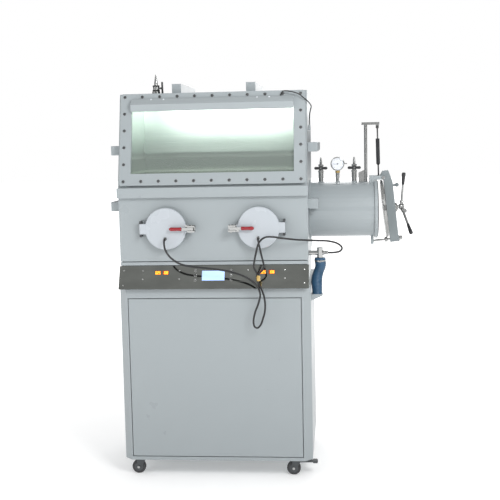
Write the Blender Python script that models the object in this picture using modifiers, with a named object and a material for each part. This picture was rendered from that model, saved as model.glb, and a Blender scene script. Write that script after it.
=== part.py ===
"""Laboratory glove box: vacuum chamber on a cabinet, with a round antechamber.

Metres, +Z up. The front faces -Y and the antechamber is on the +X side.
Places are given from the chamber: x = 0 at its middle, y = 0 at its front wall, z = 0 on the floor.
"""
import math

import bmesh
import bpy
from mathutils import Matrix, Vector

# --- driving dimensions -------------------------------------------------------
FRAME_X, FRAME_Y = -0.2538, -0.3645   # chamber's middle and front wall from the object's origin
GAP = 0.0003                          # between pieces that touch
CLEAR = 0.0005                        # between pieces that move on each other

CHAMBER_W, CHAMBER_D = 1.000, 0.750
CHAMBER_Z, CHAMBER_TOP = 1.175, 2.060
LEDGE_Z, SLOPE_RUN = 1.565, 0.130     # where the window slope starts, and how far it leans back
WALL = 0.004
PORT_X, PORT_Z, PORT_R = 0.245, 1.350, 0.100
COVER_R, COVER_T = 0.110, 0.0115
RING_OUT = 0.030                      # how far a glove ring stands out of the wall

BAND_SIZE, BAND_H = 0.053, 0.050      # reinforcing bands: how far they stand out, and their height
UPPER_BAND_Z, LOWER_BAND_Z = 1.737, 1.440

TUBE_Y, TUBE_Z, TUBE_R, TUBE_WALL = 0.360, 1.413, 0.151, 0.003
TUBE_LENGTH, FLANGE_R, FLANGE_T = 0.372, 0.162, 0.016
DISC_R, DISC_T, DISC_TRAVEL = 0.158, 0.014, 0.008
SEAL_T = 0.006
BEAM_W, BEAM_D = 0.060, 0.049
HINGE_OUT, HINGE_UP = 0.033, 0.172    # the beam's hinge from the flange face and the tube's axis
AJAR = math.radians(6)
SPINDLE_R = 0.010

CABINET_W = CHAMBER_W + 0.020
CABINET_D, CABINET_Z, CABINET_TOP = 0.750, 0.095, 1.030
CABINET_FRONT, CHAMFER, SHEET = -0.030, 0.040, 0.003
DOOR_SIDE, DOOR_LOW, DOOR_HIGH = 0.048, 0.020, 0.050    # the door's margins in the cabinet's front
CONSOLE_OUT = 0.060
WHEEL_R, WHEEL_W, TRAIL = 0.0375, 0.026, 0.020
CASTER_X, CASTER_FRONT, CASTER_BACK = CABINET_W / 2 - 0.085, 0.040, 0.650
HOSE_R, BLUE_R, CABLE_R = 0.005, 0.028, 0.003
END_RUN = 0.003                       # straight run at each end of a hose, square to what it meets

# --- values that follow -------------------------------------------------------
HALF_W = CHAMBER_W / 2
SLOPE_RISE = CHAMBER_TOP - LEDGE_Z
LEAN = math.atan2(SLOPE_RUN, SLOPE_RISE)
SLOPE = math.hypot(SLOPE_RUN, SLOPE_RISE)
FLANGE_X = HALF_W + TUBE_LENGTH
HINGE = Vector((FLANGE_X + HINGE_OUT, TUBE_Y, TUBE_Z + HINGE_UP))
CONSOLE_LOW, CONSOLE_HIGH = CABINET_TOP + 0.003, CHAMBER_Z - 0.025
CONSOLE_LEAN = math.atan2(CONSOLE_OUT - 0.003, CONSOLE_HIGH - CONSOLE_LOW)
CONSOLE_H = math.hypot(CONSOLE_OUT - 0.003, CONSOLE_HIGH - CONSOLE_LOW)
UP, RIGHT, FRONT = Vector((0, 0, 1)), Vector((1, 0, 0)), Vector((0, -1, 0))

PARTS = bpy.data.collections.new("laboratory_glove_box")
TOOLS = bpy.data.collections.new("cutters")
MATERIALS = {}
FINISHES = {                          # colour, roughness, metallic
    "paint": ((0.62, 0.67, 0.68), 0.35, 0.0),
    "cover_paint": ((0.74, 0.78, 0.82), 0.30, 0.0),
    "steel": ((0.62, 0.62, 0.60), 0.22, 1.0),
    "glass": ((0.80, 0.90, 0.86), 0.05, 0.0),
    "black_rubber": ((0.02, 0.02, 0.02), 0.55, 0.0),
    "black_plastic": ((0.03, 0.03, 0.035), 0.40, 0.0),
    "red_grip": ((0.45, 0.02, 0.03), 0.35, 0.0),
    "blue_hose": ((0.04, 0.12, 0.22), 0.50, 0.0),
    "caster_metal": ((0.20, 0.21, 0.22), 0.45, 0.6),
    "display": ((0.55, 0.70, 0.95), 0.20, 0.0),
    "pump_paint": ((0.25, 0.30, 0.34), 0.40, 0.0),
}


# --- helpers ------------------------------------------------------------------
def clear_scene():
    for obj in list(bpy.data.objects):
        bpy.data.objects.remove(obj, do_unlink=True)
    for group in (PARTS, TOOLS):
        bpy.context.scene.collection.children.link(group)


def finish_of(name):
    if name not in MATERIALS:
        colour, roughness, metallic = FINISHES[name]
        mat = bpy.data.materials.new(name)
        mat.use_nodes = True
        shader = mat.node_tree.nodes["Principled BSDF"]
        shader.inputs["Base Color"].default_value = (*colour, 1)
        shader.inputs["Roughness"].default_value = roughness
        shader.inputs["Metallic"].default_value = metallic
        MATERIALS[name] = mat
    return MATERIALS[name]


def guide(name, at, parent=None, turn=(0, 0, 0)):
    """An empty that others hang on. Pieces on it are still given in chamber places, unturned."""
    empty = bpy.data.objects.new(name, None)
    TOOLS.objects.link(empty)
    empty["at"] = tuple(at)
    empty.location = Vector(at) - Vector(parent["at"]) if parent else Vector(at)
    empty.rotation_euler = turn
    empty.parent = parent
    return empty


def put(mesh, name, finish, origin, parent):
    """Make a piece of a mesh given in chamber places, with its own origin at origin."""
    origin = Vector(origin)
    mesh.transform(Matrix.Translation(-origin))
    mesh.name = name
    mesh.materials.append(finish_of(finish))
    mesh.shade_smooth()
    mesh.set_sharp_from_angle(angle=math.radians(35))
    piece = bpy.data.objects.new(name, mesh)
    PARTS.objects.link(piece)
    piece.parent = parent
    piece.location = origin - Vector(parent["at"])
    return piece


def from_bmesh(bm, name, finish, origin, parent):
    mesh = bpy.data.meshes.new(name)
    bm.to_mesh(mesh)
    bm.free()
    return put(mesh, name, finish, origin, parent)


def block(name, low, high, finish="paint", origin=(0, 0, 0), parent=None):
    low, high = Vector(low), Vector(high)
    bm = bmesh.new()
    size = Matrix.Diagonal((*(high - low), 1))
    bmesh.ops.create_cube(bm, size=1, matrix=Matrix.Translation((low + high) / 2) @ size)
    return from_bmesh(bm, name, finish, origin, parent or FRAME)


def rod(name, start, end, radius, finish="steel", origin=(0, 0, 0), parent=None, sides=16, tip=None):
    """A straight round bar, or a cone when tip gives another radius at its end."""
    start, end = Vector(start), Vector(end)
    along = end - start
    turn = UP.rotation_difference(along).to_matrix().to_4x4()
    bm = bmesh.new()
    bmesh.ops.create_cone(bm, cap_ends=True, segments=sides, radius1=radius,
                          radius2=radius if tip is None else tip, depth=along.length,
                          matrix=Matrix.Translation((start + end) / 2) @ turn)
    return from_bmesh(bm, name, finish, origin, parent or FRAME)


def turned(name, profile, at, axis, finish="steel", origin=(0, 0, 0), parent=None, sides=28,
           closed=False):
    """A turned piece: (radius, height along axis) points, from the top down its outer side."""
    mesh = bpy.data.meshes.new(name)
    count = len(profile)
    edges = [(i, i + 1) for i in range(count - 1)] + ([(count - 1, 0)] if closed else [])
    mesh.from_pydata([(r, 0, h) for r, h in profile], edges, [])
    lathe = bpy.data.objects.new(name + "_lathe", mesh)
    bpy.context.scene.collection.objects.link(lathe)
    screw = lathe.modifiers.new("turn", "SCREW")
    screw.steps = screw.render_steps = sides
    screw.use_merge_vertices = True
    screw.merge_threshold = 0.00001
    solid = evaluated_mesh(lathe)
    turn = UP.rotation_difference(Vector(axis)).to_matrix().to_4x4()
    solid.transform(Matrix.Translation(Vector(at)) @ turn)
    return put(solid, name, finish, origin, parent or FRAME)


def plate(name, outline, low, high, plane, finish="paint", origin=(0, 0, 0), parent=None):
    """A flat outline in plane XY, YZ or XZ, as thick as low to high along the third axis."""
    curve = bpy.data.curves.new(name, "CURVE")
    curve.dimensions = "2D"
    curve.fill_mode = "BOTH"
    curve.extrude = (high - low) / 2
    spline = curve.splines.new("POLY")
    spline.points.add(len(outline) - 1)
    for point, (u, v) in zip(spline.points, outline):
        point.co = (u, v, 0, 1)
    spline.use_cyclic_u = True
    drawn = bpy.data.objects.new(name + "_outline", curve)
    bpy.context.scene.collection.objects.link(drawn)
    solid = evaluated_mesh(drawn)
    middle = (low + high) / 2
    axes = {"XY": ((1, 0, 0), (0, 1, 0), (0, 0, 1)),
            "YZ": ((0, 1, 0), (0, 0, 1), (1, 0, 0)),
            "XZ": ((1, 0, 0), (0, 0, 1), (0, -1, 0))}[plane]
    turn = Matrix(axes).transposed().to_4x4()
    offset = Vector(axes[2]) * (middle if plane != "XZ" else -middle)
    solid.transform(Matrix.Translation(offset) @ turn)
    return put(solid, name, finish, origin, parent or FRAME)


def evaluated_mesh(obj):
    """The welded mesh of a curve or lathe, which is then removed."""
    bpy.context.view_layer.update()
    graph = bpy.context.evaluated_depsgraph_get()
    mesh = bpy.data.meshes.new_from_object(obj.evaluated_get(graph))
    bm = bmesh.new()
    bm.from_mesh(mesh)
    bmesh.ops.remove_doubles(bm, verts=bm.verts, dist=0.00001)
    bm.to_mesh(mesh)
    bm.free()
    mesh.materials.clear()
    bpy.data.objects.remove(obj)
    return mesh


def smooth_route(points, spacing):
    """Evenly spaced points on a smooth curve through the route's points."""
    points = [Vector(p) for p in points]
    padded = [2 * points[0] - points[1], *points, 2 * points[-1] - points[-2]]
    dense = []
    for a, b, c, d in zip(padded, padded[1:], padded[2:], padded[3:]):
        for step in range(16):
            t = step / 16
            dense.append(0.5 * (2 * b + (c - a) * t + (2 * a - 5 * b + 4 * c - d) * t ** 2
                                + (3 * b - a - 3 * c + d) * t ** 3))
    dense.append(points[-1])
    lengths = [0.0]
    for a, b in zip(dense, dense[1:]):
        lengths.append(lengths[-1] + (b - a).length)
    count = max(3, round(lengths[-1] / spacing))
    route, place = [], 0
    for i in range(count + 1):
        want = lengths[-1] * i / count
        while place < len(dense) - 2 and lengths[place + 1] < want:
            place += 1
        span = lengths[place + 1] - lengths[place]
        share = (want - lengths[place]) / span if span else 0
        route.append(dense[place].lerp(dense[place + 1], min(share, 1)))
    leave = (points[1] - points[0]).normalized() * END_RUN
    arrive = (points[-2] - points[-1]).normalized() * END_RUN
    return [route[0], route[0] + leave, *route[1:-1], route[-1] + arrive, route[-1]]


def tube(name, points, radius, finish, spacing, resolution=2):
    curve = bpy.data.curves.new(name, "CURVE")
    curve.dimensions = "3D"
    curve.bevel_depth = radius
    curve.bevel_resolution = resolution
    curve.use_fill_caps = True
    spline = curve.splines.new("POLY")
    route = smooth_route(points, spacing)
    spline.points.add(len(route) - 1)
    for point, place in zip(spline.points, route):
        point.co = (*place, 1)
    curve.materials.append(finish_of(finish))
    piece = bpy.data.objects.new(name, curve)
    PARTS.objects.link(piece)
    piece.parent = FRAME
    return piece


def combine(piece, others, operation):
    for other in others:
        for group in list(other.users_collection):
            group.objects.unlink(other)
        TOOLS.objects.link(other)
        other.hide_render = True
        other.display_type = "WIRE"
        step = piece.modifiers.new(other.name, "BOOLEAN")
        step.operation = operation
        step.object = other
    return piece


def cut(piece, *cutters):
    return combine(piece, cutters, "DIFFERENCE")


def join(piece, *others):
    return combine(piece, others, "UNION")


def shell(piece, thickness):
    """Hollow a closed shape inwards. Later cuts open it."""
    step = piece.modifiers.new("wall", "SOLIDIFY")
    step.thickness = thickness
    step.offset = -1
    step.use_even_offset = True
    return piece


# --- chamber ------------------------------------------------------------------
def chamber_outline():
    return [(0, CHAMBER_Z), (CHAMBER_D, CHAMBER_Z), (CHAMBER_D, CHAMBER_TOP),
            (SLOPE_RUN, CHAMBER_TOP), (0, LEDGE_Z)]


WINDOW_SIDE, WINDOW_LOW, WINDOW_HIGH = 0.061, 0.072, 0.430   # opening: side margin, and heights up the slope
FRAME_MARGIN, GLASS_T, FRAME_T = 0.008, 0.012, 0.008
HOOD_UP = 0.474                       # the lamp hood's top edge up the slope, below the bolts


CABLE_GLAND = (HALF_W + 0.008, 0.250, 1.880)    # mouth of the lamp cable's elbow on the right wall


def make_chamber():
    body = shell(plate("chamber_shell", chamber_outline(), -HALF_W, HALF_W, "YZ"), WALL)
    reach = HALF_W - FRAME_MARGIN - WINDOW_SIDE
    window = block("window_hole", (-reach, -0.05, LEDGE_Z + WINDOW_LOW),
                   (reach, 0.05, LEDGE_Z + WINDOW_HIGH), parent=SLOPED)
    holes = [rod(f"port_hole_{side}", (side * PORT_X, -0.05, PORT_Z), (side * PORT_X, 0.05, PORT_Z),
                 PORT_R + GAP, sides=32) for side in (-1, 1)]
    tube_hole = rod("tube_hole", (HALF_W - 0.05, TUBE_Y, TUBE_Z), (HALF_W + 0.05, TUBE_Y, TUBE_Z),
                    TUBE_R + GAP, sides=40)
    cut(body, window, *holes, tube_hole)
    half = WALL / 2
    ledge = block("ledge", (-HALF_W - 0.003, -0.026, LEDGE_Z - 0.052),
                  (HALF_W + 0.003, half, LEDGE_Z))
    stub = block("band_stub", (HALF_W - half, 0.05, LOWER_BAND_Z),
                 (HALF_W + BAND_SIZE, TUBE_Y - TUBE_R - 0.024, LOWER_BAND_Z + BAND_H))
    ribs = [block(f"roof_rib_{side}", (side * 0.2 - 0.025, 0.17, CHAMBER_TOP - half),
                  (side * 0.2 + 0.025, CHAMBER_D - 0.06, CHAMBER_TOP + 0.052)) for side in (-1, 1)]
    x, y, z = CABLE_GLAND
    gland = rod("cable_gland", (HALF_W - half, y, z - 0.020), (x + 0.0065, y, z - 0.020), 0.007, sides=12)
    elbow = rod("gland_elbow", (x, y, z - 0.026), (x, y, z), 0.006, sides=12)
    join(body, ledge, stub, *ribs, gland, elbow)


def make_window():
    side, low, high = HALF_W - FRAME_MARGIN, FRAME_MARGIN, SLOPE - 0.004
    inner = side - WINDOW_SIDE
    radius = 0.014
    block("window_glass", (-side + 0.004, -GLASS_T, LEDGE_Z + low + 0.003),
          (side - 0.004, -GAP, LEDGE_Z + high - 0.003), "glass", parent=SLOPED)
    corners = [(side - radius, high - radius, 0), (-side + radius, high - radius, 90),
               (-side + radius, low + radius, 180), (side - radius, low + radius, 270)]
    outline = []
    for x, z, start in corners:
        for turn in (0, 30, 60, 90):
            angle = math.radians(start + turn)
            outline.append((x + radius * math.cos(angle), LEDGE_Z + z + radius * math.sin(angle)))
    outer = -GLASS_T - GAP
    clamp = plate("window_frame", outline, outer - FRAME_T, outer, "XZ", parent=SLOPED)
    cut(clamp, block("frame_hole", (-inner, -0.1, LEDGE_Z + WINDOW_LOW),
                     (inner, 0.1, LEDGE_Z + WINDOW_HIGH), parent=SLOPED))
    back = outer - FRAME_T - GAP
    top, lip, under = HOOD_UP, 0.436, 0.404
    profile = [(back, LEDGE_Z + top), (back - 0.012, LEDGE_Z + top),
               (back - 0.038, LEDGE_Z + lip), (back - 0.016, LEDGE_Z + under), (back, LEDGE_Z + lip)]
    hood = plate("lamp_housing", profile, -inner, inner, "YZ", parent=SLOPED)
    cut(hood, plate("lamp_space", [(back + 0.01, LEDGE_Z + top - 0.004),
                                   (back - 0.009, LEDGE_Z + top - 0.004),
                                   (back - 0.033, LEDGE_Z + lip + 0.002), (back - 0.016,
                                                                           LEDGE_Z + lip - 0.020),
                                   (back + 0.01, LEDGE_Z + lip + 0.004)],
                    -inner + 0.003, inner - 0.003, "YZ", parent=SLOPED))


def make_bands():
    outer, inner = HALF_W + BAND_SIZE, HALF_W + GAP
    back_in, back_out = CHAMBER_D + GAP, CHAMBER_D + BAND_SIZE
    for name, low, front_left, front_right in (
            ("band_upper", UPPER_BAND_Z, 0.095, 0.095),
            ("band_lower", LOWER_BAND_Z, 0.050, TUBE_Y + TUBE_R + 0.030)):
        outline = [(-outer, front_left), (-inner, front_left), (-inner, back_in), (inner, back_in),
                   (inner, front_right), (outer, front_right), (outer, back_out), (-outer, back_out)]
        plate(name, outline, low, low + BAND_H, "XY")


def make_shelf():
    depth, low, high = 0.140, 1.745, 1.800
    back = CHAMBER_D - WALL - GAP
    reach = HALF_W - WALL - 0.02
    sheet = block("interior_shelf", (-reach, back - depth, low), (reach, back, low + 0.003), "steel")
    lip = block("shelf_lip", (-reach, back - depth - 0.001, low - 0.004),
                (reach, back - depth + 0.002, high), "steel")
    join(sheet, lip)


def make_base_frame():
    side = HALF_W - 0.005
    low, high = CABINET_TOP + GAP, CHAMBER_Z - GAP
    ring = block("base_frame", (-side, 0.012, low), (side, CHAMBER_D - 0.05, high))
    cut(ring, block("base_space", (-side + 0.02, 0.032, low - 0.01),
                    (side - 0.02, CHAMBER_D - 0.07, high + 0.01)))
    ledge = block("base_ledge", (-HALF_W, -0.004, CONSOLE_HIGH + 0.003), (HALF_W, 0.020, high - 0.004))
    back = CLEAR / math.cos(CONSOLE_LEAN)
    cheeks = []
    for sign in (-1, 1):
        outline = [(-CONSOLE_OUT + back, CONSOLE_LOW), (-0.003 + back, CONSOLE_HIGH),
                   (0.020, CONSOLE_HIGH), (0.020, CONSOLE_LOW)]
        near, far = sorted((sign * (side - 0.004), sign * (side + 0.004)))
        cheeks.append(plate(f"console_cheek_{sign}", outline, near, far, "YZ"))
    join(ring, ledge, *cheeks)


# --- glove ports --------------------------------------------------------------
def make_port(side):
    word = "left" if side < 0 else "right"
    x = side * PORT_X
    middle = (x, 0, PORT_Z)
    ring = turned(f"glove_ring_{word}", [(PORT_R, RING_OUT), (PORT_R, 0.006), (PORT_R + 0.014, 0.006),
                                         (PORT_R + 0.014, GAP), (PORT_R, GAP), (PORT_R, -0.025),
                                         (PORT_R - 0.010, -0.025), (PORT_R - 0.010, RING_OUT)],
                  middle, FRONT, closed=True, sides=32, finish="paint")
    pin_x, pin_y = x + side * 0.133, -RING_OUT - CLEAR - COVER_T / 2
    lugs = []
    near, far = sorted((x + side * (PORT_R + 0.008), pin_x + side * 0.006))
    lugs.append(block("hinge_leaf", (near, -0.008, PORT_Z - 0.042), (far, -0.0012, PORT_Z + 0.042)))
    for rise in (-1, 1):
        low, high = sorted((PORT_Z + rise * 0.0275, PORT_Z + rise * 0.040))
        lugs.append(block("hinge_ear", (pin_x - 0.006, pin_y - 0.006, low),
                          (pin_x + 0.006, -0.002, high)))
    lugs.append(rod("hinge_pin", (pin_x, pin_y, PORT_Z - 0.039), (pin_x, pin_y, PORT_Z + 0.039), 0.003,
                    sides=12))
    join(ring, *lugs)
    make_cover(side, word, x, pin_x, pin_y)
    inner = PORT_R - 0.010 - 0.006
    rod(f"glove_{word}", (x, 0.062, PORT_Z - 0.004), (x, 0.30, PORT_Z - 0.100), inner, "black_rubber",
        sides=16, tip=0.035)


def make_cover(side, word, x, pin_x, pin_y):
    origin = (pin_x, pin_y, PORT_Z)
    back = -RING_OUT - CLEAR
    face = back - COVER_T
    name = f"port_cover_{word}"
    cover = turned(name, [(0, COVER_T), (COVER_R - 0.004, COVER_T), (COVER_R, COVER_T - 0.003),
                          (COVER_R, 0), (0, 0)], (x, back, PORT_Z), FRONT, "cover_paint", origin, sides=32)
    near, far = sorted((x + side * (COVER_R - 0.015), pin_x + side * 0.005))
    ear = block(name + "_ear", (near, face + 0.001, PORT_Z - 0.027), (far, back - 0.001, PORT_Z + 0.027),
                "cover_paint", origin)
    pin_hole = rod(name + "_pin_hole", (pin_x, pin_y, PORT_Z - 0.05), (pin_x, pin_y, PORT_Z + 0.05),
                   0.0035, origin=origin, sides=12)
    near, far = sorted((x - side * (COVER_R - 0.010), x - side * 0.158))
    shelf = block(name + "_clamp_leaf", (near, face - 0.003, PORT_Z - 0.019),
                  (far, back - 0.001, PORT_Z + 0.019),
                  "cover_paint", origin)
    near, far = sorted((x - side * 0.118, x - side * 0.157))
    cheeks = []
    for rise in (-1, 1):
        low, high = sorted((PORT_Z + rise * 0.0085, PORT_Z + rise * 0.017))
        cheeks.append(block(name + "_cheek", (near, face - 0.030, low), (far, face - 0.001, high),
                            "cover_paint", origin))
    clamp_x, clamp_y = x - side * 0.142, face - 0.022
    clamp_pin = rod(name + "_clamp_pin", (clamp_x, clamp_y, PORT_Z - 0.014),
                    (clamp_x, clamp_y, PORT_Z + 0.014),
                    0.003, origin=origin, sides=12)
    gland = rod(name + "_gland", (x - 0.003, face + 0.002, PORT_Z - 0.053),
                (x - 0.003, face - 0.014, PORT_Z - 0.053),
                0.008, origin=origin, sides=12)
    join(cover, ear, shelf, *cheeks, clamp_pin, gland)
    cut(cover, pin_hole)
    make_clamp_handle(side, word, x, clamp_x, clamp_y)


def make_clamp_handle(side, word, x, pin_x, pin_y):
    origin = (pin_x, pin_y, PORT_Z)
    near, far = sorted((x - side * 0.086, pin_x - side * 0.008))
    lever = block(f"clamp_handle_{word}", (near, pin_y - 0.005, PORT_Z - 0.007),
                  (far, pin_y + 0.005, PORT_Z + 0.007), "red_grip", origin)
    grip = turned("grip", [(0, 0.068), (0.006, 0.068), (0.010, 0.060), (0.009, 0.030), (0.010, 0.006),
                           (0.006, 0), (0, 0)], (x - side * 0.092, pin_y, PORT_Z), (side, 0, 0),
                  "red_grip", origin, sides=16)
    hole = rod("lever_hole", (pin_x, pin_y, PORT_Z - 0.05), (pin_x, pin_y, PORT_Z + 0.05), 0.0036,
               origin=origin, sides=12)
    join(lever, grip)
    cut(lever, hole)


# --- valves and gauge ---------------------------------------------------------
def make_tube_valve(name, x):
    base = (x, TUBE_Y, 0)
    body = turned(f"{name}_body", [(0, 1.700), (0.0035, 1.700), (0.007, 1.672), (0.007, 1.664),
                                   (0.012, 1.662),
                                   (0.012, 1.622), (0.0135, 1.620), (0.0135, 1.545), (0, 1.545)], base, UP,
                                   sides=20)
    shaft = rod(name + "_shaft", (x, TUBE_Y, 1.642), (x, TUBE_Y - 0.024, 1.642), 0.005, sides=12)
    join(body, shaft)
    cut(body, rod(name + "_seat", (x - 0.1, TUBE_Y, TUBE_Z), (x + 0.1, TUBE_Y, TUBE_Z), TUBE_R + GAP,
                  sides=40))
    pivot = (x, TUBE_Y - 0.0245, 1.642)
    y = pivot[1]
    plate(f"{name}_handle", [(x - 0.036, 1.638), (x - 0.030, 1.634), (x - 0.010, 1.635), (x, 1.632),
                                     (x + 0.010, 1.635), (x + 0.030, 1.634), (x + 0.036, 1.638),
                                     (x + 0.036, 1.646), (x + 0.030, 1.650), (x + 0.010, 1.649), (x, 1.652),
                                     (x - 0.010, 1.649), (x - 0.030, 1.650), (x - 0.036, 1.646)],
                  y - 0.010, y, "XZ", "black_plastic", pivot)


def make_gauge(x):
    z = 1.664
    y = TUBE_Y
    gauge = turned("pressure_gauge", [(0, 0.022), (0.034, 0.022), (0.0385, 0.020), (0.0385, -0.010),
                                      (0.030, -0.016),
                                      (0, -0.016)], (x, y, z), FRONT, "steel", sides=28)
    stem = rod("gauge_stem", (x, y, 1.545), (x, y, z - 0.030), 0.0105, sides=16)
    knob = rod("gauge_pin", (x + 0.036, y, z), (x + 0.052, y, z), 0.003, sides=10)
    join(gauge, stem, knob)
    cut(gauge, rod("gauge_seat", (x - 0.1, TUBE_Y, TUBE_Z), (x + 0.1, TUBE_Y, TUBE_Z), TUBE_R + GAP,
                   sides=40))


def make_roof_valve():
    x, y = -0.335, 0.300
    z = CHAMBER_TOP + GAP
    body = turned("roof_valve_body", [(0, z + 0.112), (0.003, z + 0.112), (0.010, z + 0.068),
                                      (0.010, z + 0.056),
                                      (0.017, z + 0.054), (0.017, z + 0.022), (0.022, z + 0.020),
                                      (0.022, z), (0, z)],
                  (x, y, 0), UP, sides=20)
    shaft = rod("roof_valve_shaft", (x, y, z + 0.038), (x + 0.030, y, z + 0.038), 0.006, sides=12)
    join(body, shaft)
    pivot = (x + 0.0305, y, z + 0.038)
    block("roof_valve_handle", (pivot[0], y - 0.008, pivot[2] - 0.034),
          (pivot[0] + 0.009, y + 0.008, pivot[2] + 0.034),
          "black_plastic", pivot)


# --- antechamber --------------------------------------------------------------
LATCH_DROP = FLANGE_R + 0.0095        # the latch rod's axis below the tube's


def make_antechamber():
    bore = TUBE_R - TUBE_WALL
    length = FLANGE_X - HALF_W
    weld = 0.007
    body = turned("antechamber_tube", [
        (FLANGE_R, length), (FLANGE_R, length - FLANGE_T), (TUBE_R, length - FLANGE_T), (TUBE_R, weld),
        (TUBE_R + 0.016, weld), (TUBE_R + 0.016, GAP), (TUBE_R, GAP), (TUBE_R, -0.009), (bore, -0.009),
        (bore, length)], (HALF_W, TUBE_Y, TUBE_Z), RIGHT, "paint", closed=True, sides=40)
    z = TUBE_Z - LATCH_DROP
    lug = block("latch_lug", (FLANGE_X - 0.036, TUBE_Y - 0.020, z - 0.024),
                (FLANGE_X - 0.020, TUBE_Y + 0.020, TUBE_Z - TUBE_R + 0.003))
    slot = block("lug_slot", (FLANGE_X - 0.06, TUBE_Y - 0.009, z - 0.05),
                 (FLANGE_X - 0.018, TUBE_Y + 0.009, z + 0.009))
    join(body, lug)
    cut(body, slot)
    back = HALF_W - 0.009 - CLEAR
    turned("inner_door", [(0, back), (DISC_R, back), (DISC_R, back - 0.010), (0, back - 0.010)],
           (0, TUBE_Y, TUBE_Z), RIGHT, "steel", (back - 0.005, TUBE_Y + DISC_R + 0.016, TUBE_Z), sides=36)


def make_bracket():
    """Two ears on the tube's top that hold the beam's pin."""
    x0, x1 = HINGE.x - 0.075, FLANGE_X - FLANGE_T - CLEAR
    inner, outer = BEAM_W / 2 + 0.0035, BEAM_W / 2 + 0.016
    base = block("hinge_bracket", (x0, TUBE_Y - outer, TUBE_Z + TUBE_R - 0.02),
                 (x1, TUBE_Y + outer, HINGE.z - 0.002))
    ears = []
    for sign in (-1, 1):
        low, high = sorted((TUBE_Y + sign * inner, TUBE_Y + sign * outer))
        outline = [(x0 + 0.002, HINGE.z - 0.012), (HINGE.x, HINGE.z - 0.011),
                   (HINGE.x + 0.008, HINGE.z - 0.008),
                   (HINGE.x + 0.011, HINGE.z), (HINGE.x + 0.008, HINGE.z + 0.008), (HINGE.x, HINGE.z + 0.011),
                   (x0 + 0.002, HINGE.z + 0.011)]
        ears.append(plate(f"bracket_ear_{sign}", outline, low, high, "XZ"))
    pin = rod("bracket_pin", (HINGE.x, TUBE_Y - outer + 0.002, HINGE.z),
              (HINGE.x, TUBE_Y + outer - 0.002, HINGE.z),
              0.006, sides=16)
    join(base, *ears, pin)
    cut(base, rod("bracket_seat", (x0 - 0.1, TUBE_Y, TUBE_Z), (x1 + 0.1, TUBE_Y, TUBE_Z), TUBE_R + GAP,
                  sides=40))


def make_door():
    seal = FLANGE_X + SEAL_T + GAP
    disc_in = seal + DISC_TRAVEL
    axis_z = TUBE_Z
    disc_origin = (disc_in, TUBE_Y, axis_z)
    hub = HINGE.x + BEAM_D + 0.021
    turned("door_disc", [(0, hub), (SPINDLE_R, hub), (SPINDLE_R, disc_in + DISC_T),
                         (DISC_R - 0.003, disc_in + DISC_T),
                         (DISC_R, disc_in + DISC_T - 0.003), (DISC_R, disc_in), (0, disc_in)],
           (0, TUBE_Y, axis_z), RIGHT, "steel", disc_origin, SWING, sides=32)
    x = HINGE.x
    low = TUBE_Z - LATCH_DROP
    half = BEAM_W / 2
    outline = [(x + 0.001, low - 0.015), (x + BEAM_D + 0.003, low - 0.015), (x + BEAM_D + 0.003, low + 0.015),
               (x + BEAM_D, low + 0.018), (x + BEAM_D, HINGE.z - 0.030), (x + 0.032, HINGE.z + 0.036),
               (x + 0.002, HINGE.z + 0.036), (x - 0.012, HINGE.z + 0.016), (x - 0.012, HINGE.z - 0.0105),
               (x + 0.001, HINGE.z - 0.0125), (x + 0.001, low + 0.018)]
    beam = plate("door_beam", outline, TUBE_Y - half, TUBE_Y + half, "XZ", "paint", HINGE, SWING)
    slot = block("beam_slot", (x - 0.05, TUBE_Y - 0.0125, HINGE.z - 0.035),
                 (x + 0.08, TUBE_Y + 0.0125, HINGE.z + 0.08),
                 origin=HINGE, parent=SWING)
    lug = block("strut_lug", (x + STRUT_EYE[0] - 0.006, TUBE_Y + 0.0055, HINGE.z + 0.003),
                (x + 0.004, TUBE_Y + 0.0130, HINGE.z + STRUT_EYE[1] + 0.0045),
                origin=HINGE, parent=SWING)
    knob = turned("beam_knob", [(0, 0.034), (0.008, 0.032), (0.012, 0.022), (0.006, 0.010), (0.006, -0.004),
                                (0, -0.004)],
                  (x + BEAM_D, TUBE_Y, HINGE.z - 0.050), RIGHT, "paint", HINGE, SWING, sides=16)
    holes = [rod("beam_pin_hole", (x, TUBE_Y - 0.1, HINGE.z), (x, TUBE_Y + 0.1, HINGE.z), 0.0066,
                 origin=HINGE,
                 parent=SWING, sides=16),
             rod("spindle_hole", (x - 0.1, TUBE_Y, axis_z), (x + 0.1, TUBE_Y, axis_z), SPINDLE_R + CLEAR,
                 origin=HINGE, parent=SWING, sides=32),
             rod("latch_hole", (x - 0.1, TUBE_Y, low), (x + 0.1, TUBE_Y, low), 0.0066, origin=HINGE,
                 parent=SWING, sides=16)]
    cut(beam, slot)
    join(beam, lug, knob)
    cut(beam, *holes)
    make_hand_wheel(hub + GAP, axis_z)
    screw = rod("latch_rod", (FLANGE_X - 0.061, TUBE_Y, low), (x + BEAM_D + 0.022, TUBE_Y, low), 0.006,
                "steel", (x, TUBE_Y, low), SWING, sides=16)
    head = rod("latch_head", (x + BEAM_D + 0.0045, TUBE_Y, low), (x + BEAM_D + 0.020, TUBE_Y, low), 0.013,
               "steel", (x, TUBE_Y, low), SWING, sides=6)
    join(screw, head)


ARM_LENGTH, ARM_DISH, ARM_START = 0.190, 0.028, 17
STRUT_EYE = (-0.0225, 0.012)          # the strut's lower eye from the hinge, with the door closed


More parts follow.
